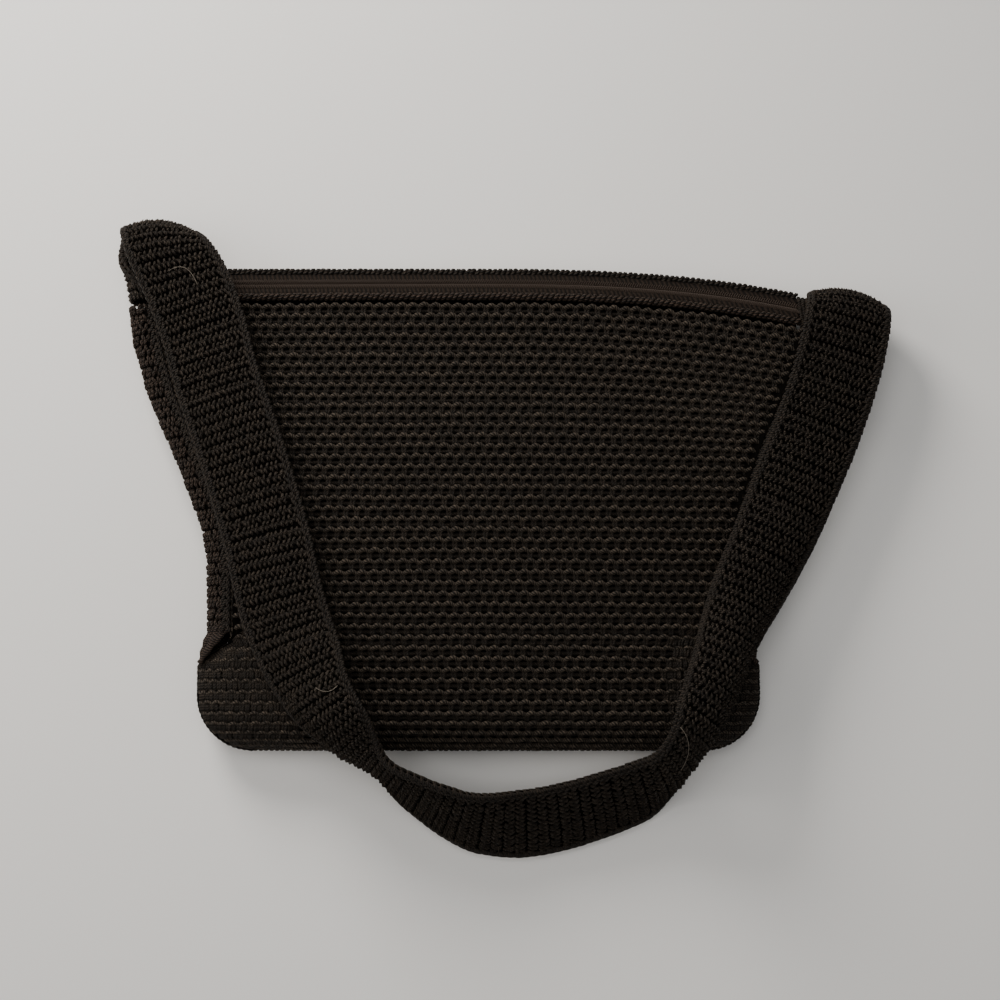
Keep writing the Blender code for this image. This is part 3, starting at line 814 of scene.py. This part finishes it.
def crochet(grid, normals, lift, detail, ridges, legs):
    """A panel's rows: a scalloped ridge over a deeper strand, with short legs below it at each stitch."""
    count, total, per_metre = rows_of(grid, ROW_PITCH)
    columns = np.arange(grid.shape[1], dtype=float)
    for row in range(count):
        t_row = (row + FIRST_RIDGE) * total / count
        distances = across_row(grid, t_row)
        below = across_row(grid, max(t_row - ROW_PITCH * per_metre, 0.0))
        stagger = 0.5 * (row % 2) + worn(1, PANEL_WEAR["stagger"])[0]
        first, last = distances[0] / STITCH_PITCH, distances[-1] / STITCH_PITCH
        s = np.linspace(first, last, int(round((last - first) * detail["ridge_steps"])) + 1)
        knots = np.arange(math.floor(first), math.ceil(last) + 1)
        uneven = worn(len(knots), PANEL_WEAR["stitch"])
        phase = 2.0 * math.pi * (s + stagger + np.interp(s, knots, uneven))
        sway = np.interp(s, knots, worn(len(knots), PANEL_WEAR["sway"]))
        heave = np.interp(s, knots, worn(len(knots), PANEL_WEAR["heave"]))
        u = np.interp(s * STITCH_PITCH, distances, columns)
        t = t_row + (RIDGE_WAVE * np.cos(phase) + sway) * per_metre
        up = read(normals, t, u)
        line = read(grid, t, u)
        cornered = in_bottom_corner(line)
        height = lift + RIDGE_BULGE * np.cos(phase) + heave - CORNER_SINK * cornered
        thickness = RIDGE_RADIUS * (1.0 + RIDGE_SWELL * np.cos(phase + SWELL_LAG))
        thickness *= 1.0 - CORNER_THIN * cornered
        ridges.add(line + up * height[:, None], up, thickness, detail["ridge_sides"])
        coarse = slice(None, None, 2)
        fall = BACK_LOOP_BELOW * ROW_PITCH + BACK_LOOP_WAVE * RIDGE_WAVE * np.cos(phase[coarse])
        t_loop = t[coarse] - fall * per_metre
        u_loop = np.interp(s[coarse] * STITCH_PITCH, below, columns)
        up_loop = read(normals, t_loop, u_loop)
        deep = up_loop * (lift - BACK_LOOP_DEPTH - BACK_LOOP_BULGE * np.cos(phase[coarse]))[:, None]
        legs.add(read(grid, t_loop, u_loop) + deep, up_loop, BACK_LOOP_RADIUS, LOOP_SIDES)
        shift = stagger - 0.5
        stems = np.arange(math.ceil(first + shift), math.floor(last + shift) + 1) - shift
        share = np.linspace(0.0, 1.0, detail["leg_steps"] + 1)
        for stem in stems:
            lean = worn(1, PANEL_WEAR["lean"])[0]
            shifted = stem - np.interp(stem, knots, uneven)
            here = read(grid, np.array([t_row]), np.interp([shifted * STITCH_PITCH], distances, columns))[0]
            in_corner = here[1] < NOTCH_Y and abs(here[0]) > CORNER_FROM
            for way in CORNER_LEGS if in_corner else LEG_PAIR:
                foot = LEG_MEET if way in LEG_PAIR else LEG_SPREAD
                s_leg = shifted + way * mix(LEG_SPREAD, foot, share) + lean * (1.0 - share)
                t_leg = t_row - mix(LEG_TOP, LEG_FOOT, share) * ROW_PITCH * per_metre
                place = s_leg * STITCH_PITCH
                u_leg = mix(np.interp(place, distances, columns), np.interp(place, below, columns), share)
                up = read(normals, t_leg, u_leg)
                bow = lift - LEG_DEPTH + LEG_BOW * np.sin(math.pi * share) - LEG_DIP * share**3
                if in_corner:
                    bow += CORNER_LEG_LIFT + worn(1, PANEL_WEAR["leg"])[0]
                legs.add(read(grid, t_leg, u_leg) + up * bow[:, None], up, LEG_RADIUS, detail["leg_sides"])


def band_crochet(grid, normals, lift, detail, stitches, loops):
    """A band's rows: two lines of short slanted stitches that lean apart, over a deeper strand of yarn."""
    count, total, per_metre = rows_of(grid, BAND_ROW)
    columns = np.arange(grid.shape[1], dtype=float)
    share = np.linspace(0.0, 1.0, detail["stitch_steps"] + 1)
    from_middle = 2.0 * share - 1.0
    for row in range(count):
        t_row = (row + 0.5 + worn(1, BAND_WEAR["row"])[0]) * total / count
        distances = across_row(grid, t_row)
        first, last = distances[0] + BAND_EDGING, distances[-1] - BAND_EDGING
        number = max(2, int(round((last - first) / BAND_STITCH)))
        row_lift = lift + worn(1, BAND_WEAR["row_lift"])[0]
        for way in (-1.0, 1.0):
            middles = np.arange(number) + 0.5 + BAND_LEAD * way + worn(number, BAND_WEAR["place"])
            lengths = 0.5 * (BAND_STITCH_LENGTH + worn(number, BAND_WEAR["length"]))
            lifts = row_lift + worn(number, BAND_WEAR["lift"])
            leans = BAND_SLANT * way * (1.0 + worn(number, BAND_WEAR["lean"]))
            radii = BAND_RADIUS * (1.0 + worn(number, BAND_WEAR["radius"]))
            for middle, half, raised, lean, radius in zip(middles, lengths, lifts, leans, radii):
                along = mix(-half, half, share)
                across = first + (last - first) * middle / number + lean * along
                t = t_row + (BAND_LINE * BAND_ROW * way + along) * per_metre
                u = np.interp(across, distances, columns)
                up = read(normals, t, u)
                height = raised + BAND_BULGE - BAND_DIP * from_middle**2
                thick = radius * (1.0 - BAND_TAPER * from_middle**2)
                stitches.add(read(grid, t, u) + up * height[:, None], up, thick, detail["stitch_sides"])
        s = np.linspace(0.0, number, number + 1)
        t = t_row + BAND_LOOP_WAVE * np.cos(math.pi * s) * per_metre
        u = np.interp(mix(first, last, s / number), distances, columns)
        up = read(normals, t, u)
        loops.add(read(grid, t, u) + up * (lift - BAND_LOOP_DEPTH), up, BACK_LOOP_RADIUS, LOOP_SIDES)


def chain_edging(grid, normals, lift, at_end, yarns):
    """A chain of slanted stitches along one edge of a band: two columns that lean towards each other."""
    count, total, _ = rows_of(grid, CHAIN_STITCH)
    columns = grid.shape[1] - 1
    width = lengths_along(grid[total // 2])[-1]
    share = np.linspace(0.0, 1.0, 4)
    for link in range(count):
        for column in EDGING_COLUMNS:
            wide = mix(column["near"], column["far"], share) + worn(1, EDGING_WEAR["place"])[0]
            s = (link + mix(*CHAIN_LAP, share) + worn(1, EDGING_WEAR["start"])[0]) / count
            t = np.clip(s, 0.0, 1.0) * total
            u = wide / width * columns
            if at_end:
                u = columns - u
            up = read(normals, t, u)
            height = lift + EDGING_LIFT - column["tuck"] * (1.0 - share) ** 2 - EDGING_DIP * share**3
            yarns.add(read(grid, t, u) + up * height[:, None], up, EDGING_RADIUS, EDGING_SIDES)


def rope(line, radius, yarn):
    """Two strands of yarn wound along a line round a thinner one, as the slanted stitches of a border."""
    yarns = Yarns()
    turns = int(round(lengths_along(line)[-1] / ROPE_LEAD))
    count = turns * ROPE_STEPS + 1
    path = evenly(line, count)
    ahead = np.gradient(path, axis=0)
    ahead /= np.linalg.norm(ahead, axis=1, keepdims=True)
    side = np.cross(ahead, UPWARD)
    side /= np.linalg.norm(side, axis=1, keepdims=True)
    above = np.cross(side, ahead)
    knots = np.arange(turns + 1)
    places = np.linspace(0.0, turns, count)
    for start in (0.0, math.pi):
        stray = np.interp(places, knots, worn(turns + 1, ROPE_WEAR["turn"]))
        angle = (2.0 * math.pi * places + start + stray)[:, None]
        loose = np.interp(places, knots, worn(turns + 1, ROPE_WEAR["swell"]))
        swell = (radius - yarn) * (1.0 + loose)[:, None]
        out = np.cos(angle) * side + np.sin(angle) * above
        yarns.add(path + swell * out, out, yarn, ROPE_SIDES)
    yarns.add(evenly(line, turns + 1), UPWARD, radius - 1.5 * yarn, ROPE_SIDES)
    return yarns


def knotted(share, radius, swell, knots, start=0.0):
    """A strand's radius where knots thicken it along its length."""
    return radius * (1.0 + swell * np.cos(2.0 * math.pi * knots * share + start))


def mouth_place(x):
    """A place along the mouth's front edge, and the front panel's height there."""
    line = dropped(x, MOUTH_Y)
    return x, line, open_height(x, line)


def mouth_places(count):
    return [mouth_place(mix(*MOUTH_ENDS, index / count)) for index in range(count + 1)]


def front_border_place(x, y, height):
    return Vector((x, y + FRONT_BORDER_RADIUS + BORDER_SET + CLEARANCE, height - WALL / 2.0))


def back_border_place(x, y, _height):
    return Vector((x, y + MOUTH_DEPTH, BACK_BORDER_Z))


def chain_edges(place):
    """The zip's two rims and its chain's two edges."""
    front = front_border_place(*place)
    back = back_border_place(*place)
    way = (back - front).normalized()
    front_rim = front + way * (FRONT_BORDER_RADIUS + TAPE_THICKNESS / 2.0 + CLEARANCE)
    back_rim = back - way * (BACK_BORDER_RADIUS + TAPE_THICKNESS / 2.0 + CLEARANCE)
    middle = (front_rim + back_rim) / 2.0
    return front_rim, middle - way * (CHAIN_WIDTH / 2.0), middle + way * (CHAIN_WIDTH / 2.0), back_rim


def linear(colour):
    """Linear colour of an sRGB hex value."""
    parts = [int(colour[i : i + 2], 16) / 255.0 for i in (1, 3, 5)]
    return tuple(c / 12.92 if c <= 0.04045 else ((c + 0.055) / 1.055) ** 2.4 for c in parts) + (1.0,)


def connect(tree, node, inputs):
    """A node's inputs linked or set, by name or number."""
    for name, value in inputs.items():
        if isinstance(value, bpy.types.NodeSocket):
            tree.links.new(value, node.inputs[name])
        else:
            node.inputs[name].default_value = value


def add(tree, kind, inputs, **settings):
    """One shader node with its settings and inputs."""
    node = tree.nodes.new(kind)
    for name, value in settings.items():
        setattr(node, name, value)
    connect(tree, node, inputs)
    return node


def new_material(name):
    material = bpy.data.materials.new(name)
    material.use_nodes = True
    tree = material.node_tree
    return material, tree, tree.nodes["Principled BSDF"], add(tree, "ShaderNodeTexCoord", {}).outputs


def repeats(size_mm):
    """How often a pattern of that size repeats in a metre."""
    return 1000.0 / size_mm


def yarn_material(name, dark, light, sheen):
    """Spun cotton-blend yarn of three plies: matt, darker between the plies as painted shade, with tufts
    painted lighter as glints and loose fibres whose sheen catches light.
    """
    material, tree, shader, where = new_material("cotton-blend yarn, three plies, " + name)
    # The three plies cross a line along the yarn one after the other: a rounded twist, which also darkens the
    # colour between the plies as painted shade
    turned = add(tree, "ShaderNodeMapping", {"Vector": where["UV"], "Scale": (3.0, repeats(PLY_MM), 1.0)})
    plies = add(
        tree,
        "ShaderNodeTexWave",
        {"Vector": turned.outputs[0], "Scale": WAVE_UNIT, "Distortion": 1.5, "Detail": 1.0},
        bands_direction="DIAGONAL",
    )
    # Tufts of loose fibres, painted lighter as glints, and patches that took the dye unevenly
    fibres = add(
        tree,
        "ShaderNodeTexNoise",
        {"Vector": where["Object"], "Scale": repeats(TUFT_MM), "Detail": 3.0, "Roughness": 0.7},
    )
    uneven_dye = {"Vector": where["Object"], "Scale": repeats(DYE_MM), "Detail": 2.0}
    patches = add(tree, "ShaderNodeTexNoise", uneven_dye)
    fuzz_and_glints, dye, ply = fibres.outputs["Fac"], patches.outputs["Fac"], plies.outputs["Fac"]
    tone = add(tree, "ShaderNodeMath", {0: fuzz_and_glints, 1: dye}, operation="MULTIPLY")
    ply_shade_and_glints = add(tree, "ShaderNodeMath", {0: ply, 1: 0.42, 2: tone.outputs[0]}, operation="MULTIPLY_ADD")
    # Lighter where plies and tufts peak, partly painted highlight on the crests, and darker between the plies
    # as painted shade; the dye patches are the yarn's own uneven colour
    ramp = add(tree, "ShaderNodeMapRange", {"Value": ply_shade_and_glints.outputs[0], "From Min": 0.38, "From Max": 0.74})
    tones = {0: ramp.outputs["Result"], 6: linear(dark), 7: linear(light)}
    colour = add(tree, "ShaderNodeMix", tones, data_type="RGBA")
    bump = add(tree, "ShaderNodeBump", {"Height": fuzz_and_glints, "Strength": 0.7, "Distance": 0.00016})
    rounded = {"Height": ply, "Strength": 0.9, "Distance": 0.00040, "Normal": bump.outputs[0]}
    twist = add(tree, "ShaderNodeBump", rounded)
    connect(tree, shader, {
        "Base Color": colour.outputs[2],
        "Normal": twist.outputs[0],
        "Roughness": 0.8,
        "Specular IOR Level": 0.25,
        "Sheen Weight": sheen,
        "Sheen Roughness": 0.4,
        "Sheen Tint": linear("#A38F78"),
    })
    return material


def two_toned(name, kind, pattern, dark, light, relief, finish, **settings):
    """A material whose one pattern mixes two tones and raises the lighter one by so many metres."""
    material, tree, shader, where = new_material(name)
    texture = add(tree, kind, {"Vector": where["Object"], **pattern}, **settings)
    level = texture.outputs["Fac"]
    colour = add(tree, "ShaderNodeMix", {0: level, 6: linear(dark), 7: linear(light)}, data_type="RGBA")
    connect(tree, shader, {"Base Color": colour.outputs[2], **finish})
    if relief:
        bump = add(tree, "ShaderNodeBump", {"Height": level, "Strength": 0.8, "Distance": relief})
        connect(tree, shader, {"Normal": bump.outputs[0]})
    return material


def shade_material():
    """The yarn's inner layer behind the holes: the same cotton as a sheet painted near black, painted shade
    for the depth where next to no light comes back.
    """
    name = "cotton-blend yarn, three plies, black, inner layer"
    felt = {"Scale": repeats(FELT_MM), "Detail": 3.0}
    finish = {"Roughness": 1.0, "Specular IOR Level": 0.05}
    return two_toned(name, "ShaderNodeTexNoise", felt, "#020201", "#070504", 0.0004, finish)


def hair_material():
    """Single cotton fibres that missed most of the dye: pale, matt, thin enough to catch light."""
    dye = {"Scale": repeats(HAIR_DYE_MM)}
    finish = {"Roughness": 0.7}
    return two_toned("cotton fibre, half dyed", "ShaderNodeTexNoise", dye, "#2E2822", "#9A8F80", 0.0, finish)


def tape_material():
    """Woven polyester zip tape: a matt herringbone of dark brown threads, two tones deep."""
    # The threads are too fine to show, so the herringbone's ribs are drawn a few threads wide
    name = "polyester zip tape, woven herringbone"
    ribs = {"Scale": WAVE_UNIT * repeats(RIB_MM), "Distortion": 2.5, "Detail": 2.0}
    finish = {"Roughness": 0.85, "Specular IOR Level": 0.12}
    way = {"bands_direction": "DIAGONAL"}
    return two_toned(name, "ShaderNodeTexWave", ribs, "#0A0705", "#251D17", 0.0002, finish, **way)


def coil_material():
    """Drawn nylon filament: smooth, dark brown, with a soft plastic highlight on each turn."""
    material, tree, shader, where = new_material("drawn nylon filament, dyed dark brown")
    marks = add(tree, "ShaderNodeTexNoise", {"Vector": where["Object"], "Scale": repeats(DIE_MARK_MM)})
    shallow = {"Height": marks.outputs["Fac"], "Strength": 0.15, "Distance": 0.00005}
    bump = add(tree, "ShaderNodeBump", shallow)
    connect(tree, shader, {
        "Base Color": linear("#382D25"),
        "Normal": bump.outputs[0],
        "Roughness": 0.62,
        "Specular IOR Level": 0.25,
        "IOR": 1.53,
    })
    return material


def slider_material():
    """Cast zinc slider with a dark lacquer: soft metal gloss, uneven where the casting was."""
    material, tree, shader, where = new_material("zinc alloy, die cast and dark lacquered")
    skin = {"Vector": where["Object"], "Scale": repeats(CASTING_MM), "Detail": 4.0}
    grain = add(tree, "ShaderNodeTexNoise", skin)
    rough = add(tree, "ShaderNodeMapRange", {"Value": grain.outputs["Fac"], "To Min": 0.3, "To Max": 0.5})
    finish = {"Base Color": linear("#4A443E"), "Roughness": rough.outputs["Result"], "Metallic": 1.0}
    connect(tree, shader, finish)
    return material


body_yarn = yarn_material("black", "#060402", "#4B4136", 0.10)
band_yarn = yarn_material("black, band", "#040302", "#493F35", 0.08)
# A browner copy of the black yarn: painted warm light, for the gussets, the front border and the corner
# stitches
warm_lit_yarn = yarn_material("browner, painted warm light", "#070403", "#413329", 0.10)
# A darker copy of the black yarn: painted shade, for stitch legs, back loops, edging, the back border and
# other strands set deeper
shaded_yarn = yarn_material("black, lower layer", "#040302", "#31281F", 0.05)
# A near-black sheet behind the holes: painted shade
painted_shade_sheet = shade_material()


def finished(obj, slot, *nodes):
    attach(obj, "root")
    if nodes:
        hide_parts(*nodes)
    return obj


def dress_panel(prefix, grid, sign, node, detail):
    """A panel's rows of stitches, with legs and back loops in a darker copy of the yarn as painted shade, and
    the inner layer of the fabric below them as a near-black sheet of painted shade.
    """
    normals = normals_of(grid, sign)
    ridges = Yarns()
    legs = Yarns()
    crochet(grid, normals, -RIDGE_RADIUS, detail, ridges, legs)
    finished(ridges.build(prefix + "_row_ridges", body_yarn), "crochet_yarn", node)
    finished(legs.build(prefix + "_stitch_legs", shaded_yarn), "crochet_yarn")
    columns = grid.shape[1] - 1
    from_edge = np.minimum(np.arange(columns + 1), columns - np.arange(columns + 1))
    depth = FABRIC_DEPTH * np.clip(from_edge / 3.0, 0.0, 1.0)
    inner = (grid - normals * depth[None, :, None])[::3, ::2]
    # The inner layer is a near-black sheet below the stitches: painted shade in the holes
    finished(surface_object(prefix + "_inner_shade_sheet", inner, painted_shade_sheet), "crochet_yarn")


def dress_band(prefix, grid, faces, yarn):
    """A band's rows on the faces that show, its chain edging, and the middle of the fabric: back loops and
    edging in a darker copy of the yarn, the middle a near-black sheet, both painted shade.
    """
    lift = BAND_THICKNESS / 2.0 - BAND_RADIUS
    for face, sign, detail in faces:
        normals = normals_of(grid, sign)
        stitches = Yarns()
        loops = Yarns()
        edging = Yarns()
        band_crochet(grid, normals, lift, detail, stitches, loops)
        for at_end in (False, True):
            chain_edging(grid, normals, lift, at_end, edging)
        finished(stitches.build(prefix + "_stitches_" + face, yarn), "crochet_yarn", prefix)
        finished(loops.build(prefix + "_back_loops_" + face, shaded_yarn), "crochet_yarn")
        finished(edging.build(prefix + "_edging_" + face, shaded_yarn), "crochet_yarn")
    # The band's middle is a near-black sheet: painted shade through the holes
    finished(surface_object(prefix + "_middle_shade_sheet", grid[::3], painted_shade_sheet), "crochet_yarn")


def bottom_seam_line():
    """The line where front and back meet, from the left notch round the bottom to the right one."""
    radius = CORNER_RADIUS - SEAM_ROPE_SET
    turn_y = CORNER_RADIUS - HALF_LENGTH
    sides = {}
    for side, sign in (("left", -1.0), ("right", 1.0)):
        heights = np.linspace(NOTCH_Y - SEAM_ROPE_LAP, turn_y, 40)
        points = [(sign * (edge_x(y, side) - SEAM_ROPE_SET), y, SEAM_HEIGHT) for y in heights]
        for angle in np.linspace(0.0, 0.5 * math.pi, 30)[1:]:
            x = HALF_WIDTH - CORNER_RADIUS + radius * math.cos(angle)
            points.append((sign * x, turn_y - radius * math.sin(angle), SEAM_HEIGHT))
        sides[side] = points
    return np.array(sides["left"] + sides["right"][::-1])


def gusset_seam(side, sign):
    """Rope-like stitches where a gusset meets the front panel."""
    heights = np.linspace(NOTCH_Y - GUSSET_ROPE_LAP, GUSSET_TOP[side] - GUSSET_ROPE_LAP, 60)
    line = [
        (sign * (seam_x(y, side) + GUSSET_ROPE_OUT), y, HEIGHT * body_value("seam", y) - GUSSET_ROPE_DEPTH)
        for y in heights
    ]
    return rope(np.array(line), GUSSET_ROPE_RADIUS, EDGING_RADIUS)


def corner_closing(side, sign):
    """Knotted strands from the gusset's lower end that fan out to the corner's edge."""
    grid = gusset_grid(side, GRID_STEP)
    strands = Yarns()
    share = np.linspace(0.0, 1.0, 13)[:, None]
    radius = knotted(share[:, 0], CLOSING_RADIUS, CLOSING_SWELL, CLOSING_KNOTS)
    for column in np.linspace(0.5, grid.shape[1] - 1.5, CLOSING_COUNT):
        start = read(grid, np.array([1.5]), np.array([column]))[0]
        y = NOTCH_Y - CLOSING_REACH
        low, high = CLOSING_FAN
        height = mix(SEAM_HEIGHT + low, SEAM_HEIGHT + high, (start[2] - CLOSING_FROM) / CLOSING_RISE)
        end = np.array([sign * (edge_x(y, side) - CLOSING_INSET), y, height])
        outward = CLOSING_BOW[0] + worn(1, CLOSING_WEAR["bow"])[0]
        bow = np.sin(math.pi * share) * np.array([[sign * outward, CLOSING_BOW[1], 0.0]])
        path = start + (end - start) * share + bow
        strands.add(path, (sign, 0.0, 0.0), radius * (1.0 + worn(1, CLOSING_WEAR["radius"])[0]), ROPE_SIDES)
    return strands


def corner_gathers(side, sign):
    """Strands that draw the front panel in at the notch, side by side from its edge inwards."""
    strands = Yarns()
    above, beyond = GATHER_LAP
    for inset in np.arange(*GATHER_INSETS):
        points = []
        for y in np.linspace(NOTCH_Y + above, NOTCH_Y - NOTCH_RUN - beyond, 12):
            x = sign * (edge_x(y, side) - inset)
            points.append((x, y, front_height(x, y) - GATHER_DEPTH))
        strands.add(np.array(points), UPWARD, GATHER_RADIUS, ROPE_SIDES)
    return strands


def dress_seams():
    """Stitches along the bottom seam and the gussets, and those that close the corner below each gusset: the
    gathers in a darker copy of the yarn as painted shade, the corner stitches in a browner copy as painted
    warm light.
    """
    bottom = rope(bottom_seam_line(), SEAM_ROPE_RADIUS, EDGING_RADIUS)
    finished(bottom.build("bottom_seam_stitches", body_yarn), "crochet_yarn")
    for side, sign in (("left", -1.0), ("right", 1.0)):
        seam = gusset_seam(side, sign)
        finished(seam.build("gusset_seam_stitches_" + side, body_yarn), "crochet_yarn")
        closing = corner_closing(side, sign)
        gathers = corner_gathers(side, sign)
        finished(gathers.build("corner_gathers_" + side, shaded_yarn), "crochet_yarn")
        finished(closing.build("corner_stitches_" + side, warm_lit_yarn), "crochet_yarn")


def loose_fibres(grid):
    """A few pale hairs of yarn that lie on the strap."""
    hairs = Yarns()
    share = np.linspace(0.0, 1.0, 15)[:, None]
    flat = grid.reshape(-1, 3)
    for hair in LOOSE_FIBRES:
        start, bend, end = (np.array(place) for place in hair)
        line = start * (1.0 - share) ** 2 + 2.0 * bend * share * (1.0 - share) + end * share**2
        nearest = np.argmin(np.linalg.norm(flat[None, :, :2] - line[:, None, :], axis=2), axis=1)
        height = flat[nearest, 2] + BAND_THICKNESS / 2.0 + FIBRE_LIFT
        hairs.add(np.concatenate([line, height[:, None]], axis=1), UPWARD, FIBRE_RADIUS, LOOP_SIDES)
    finished(hairs.build("strap_loose_fibres", hair_material()), "crochet_yarn")


def mouth_borders(places):
    """The rope of slanted stitches on each border of the mouth: the front one in a browner copy of the yarn
    as painted warm light, the back one in a darker copy as painted shade.
    """
    for name, place_of, radius, yarn in (
        ("mouth_border_front", front_border_place, FRONT_BORDER_RADIUS, warm_lit_yarn),
        ("mouth_border_back", back_border_place, BACK_BORDER_RADIUS, shaded_yarn),
    ):
        line = np.array([place_of(*place) for place in places])
        border = rope(line, radius, BORDER_YARN)
        finished(border.build(name + "_stitches", yarn), "crochet_edging", name)


def mouth_ends():
    """Strands from border to border across each end of the mouth, and down to the front panel, in a darker
    copy of the yarn as painted shade.
    """
    strands = Yarns()
    share = np.linspace(0.0, 1.0, 14)[:, None]
    for end, sign in zip(MOUTH_ENDS, (-1.0, 1.0)):
        outward = (sign, 0.0, 0.0)
        for turn in range(END_STRANDS):
            place = mouth_place(end + sign * (END_FIRST + END_PITCH * turn))
            front = np.array(front_border_place(*place)) - END_STEP_DOWN * turn * UPWARD
            back = np.array(back_border_place(*place))
            sag = -END_SAG * np.sin(math.pi * share) * UPWARD
            thick = knotted(share[:, 0], END_RADIUS, END_SWELL, END_KNOTS, turn)
            strands.add(front + (back - front) * share + sag, outward, thick, ROPE_SIDES)
            down = np.array([END_BELOW[0] * sign, *END_BELOW[1:]])
            strands.add(front + down * share, outward, thick, ROPE_SIDES)
    finished(strands.build("mouth_end_stitches", shaded_yarn), "crochet_edging")


def zip_tapes(edges):
    """The two tapes, from the borders to the zip's middle, where they pass below the coils."""
    tape = tape_material()
    for name, rim, inner in (("zip_tape_front", 0, 1), ("zip_tape_back", 3, 2)):
        rows = []
        for edge in edges:
            way = (edge[rim] - edge[inner]).normalized()
            below = Vector((1.0, 0.0, 0.0)).cross(edge[2] - edge[1]).normalized() * -TAPE_DROP
            middle = (edge[1] + edge[2]) / 2.0 + below
            under = edge[inner] - way * TAPE_UNDER_COIL + below
            rows.append([edge[rim] + way * TAPE_THICKNESS, edge[inner] + way * TAPE_TO_COIL, under, middle])
        piece = surface_object(name + "_weave", np.array(rows), tape)
        shell = piece.modifiers.new("thickness", "SOLIDIFY")
        shell.thickness = TAPE_THICKNESS
        shell.offset = 0.0
        finished(piece, "zip_tape", name)


def zip_coils(edges):
    """Two coils of wire side by side along the zip, half a turn apart so that their turns mesh."""
    middle = np.array([(edge[1] + edge[2]) / 2.0 for edge in edges])
    way = np.array([(edge[2] - edge[1]).normalized() for edge in edges])
    turns = int(round(lengths_along(middle)[-1] / COIL_PITCH))
    count = turns * COIL_STEPS + 1
    path = evenly(middle, count)
    ways = evenly(way, count)
    ways /= np.linalg.norm(ways, axis=1, keepdims=True)
    ahead = np.gradient(path, axis=0)
    ahead /= np.linalg.norm(ahead, axis=1, keepdims=True)
    above = np.cross(ahead, ways)
    angle = np.linspace(0.0, 2.0 * math.pi * turns, count)[:, None]
    coils = Yarns()
    for side in (-1.0, 1.0):
        turn = angle if side > 0.0 else angle + math.pi
        across = side * (COIL_MIDDLE + COIL_REACH * np.cos(turn))
        high = COIL_HALF_HEIGHT * np.sin(turn) * side + COIL_LIFT
        lean = ahead * (COIL_LEAN * np.cos(turn))
        coils.add(path + ways * across + above * high + lean, above, COIL_WIRE, LOOP_SIDES)
    finished(coils.build("zip_chain_coil", coil_material()), "coil_nylon", "zip_chain")


def dress_mouth():
    places = mouth_places(200)
    edges = [chain_edges(place) for place in places]
    mouth_borders(places)
    mouth_ends()
    zip_tapes(edges)
    zip_coils(edges)
    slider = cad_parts["zip_slider"]
    slider.data.materials.clear()
    slider.data.materials.append(slider_material())


def paper_material():
    """Matt backdrop paper: one even pale grey, as its fibres are too fine to show."""
    material, tree, shader, _ = new_material("pale grey studio paper")
    connect(tree, shader, {"Base Color": linear("#EDECEA"), "Roughness": 0.9})
    return material


def soft_light(name, place, aim, size, power, colour):
    data = bpy.data.lights.new(name, "AREA")
    data.shape = "DISK"
    data.size = size
    data.energy = power
    data.color = colour
    obj = bpy.data.objects.new(name, data)
    obj.location = place
    obj.rotation_euler = (Vector(aim) - Vector(place)).to_track_quat("-Z", "Y").to_euler()
    bpy.context.scene.collection.objects.link(obj)


def studio():
    bpy.ops.mesh.primitive_plane_add(size=6.0, location=(0.0, 0.0, 0.0))
    floor = bpy.context.object
    floor.name = "studio_floor"
    floor.data.materials.append(paper_material())
    world = bpy.data.worlds.new("studio")
    world.use_nodes = True
    connect(world.node_tree, world.node_tree.nodes["Background"], WORLD_LIGHT)
    bpy.context.scene.world = world
    for light in LIGHTS:
        soft_light(*light)


def camera():
    """The photograph's view: from above, tilted towards the bag's bottom."""
    tilt = math.radians(CAMERA_TILT)
    data = bpy.data.cameras.new("photograph_view")
    data.lens = CAMERA_LENS
    data.sensor_width = 36.0
    obj = bpy.data.objects.new("photograph_view", data)
    obj.location = Vector(CAMERA_TARGET) + Vector((0.0, -math.sin(tilt), math.cos(tilt))) * CAMERA_DISTANCE
    obj.rotation_euler = (tilt, 0.0, 0.0)
    bpy.context.scene.collection.objects.link(obj)
    bpy.context.scene.camera = obj


dress_panel("front", front_grid(GRID_STEP), 1.0, "front_panel", FINE)
dress_panel("back", back_grid(GRID_STEP), -1.0, "back_panel", PLAIN)
strap = strap_grid(GRID_STEP)
dress_band("strap", strap, (("outer", 1.0, BAND_FINE), ("inner", -1.0, BAND_PLAIN)), band_yarn)
loose_fibres(strap)
# The gussets are in the browner copy of the yarn: painted warm light
for side, sign in (("left", -1.0), ("right", 1.0)):
    dress_band("gusset_" + side, gusset_grid(side, GRID_STEP), (("outer", sign, BAND_FINE),), warm_lit_yarn)
dress_seams()
dress_mouth()
studio()
camera()
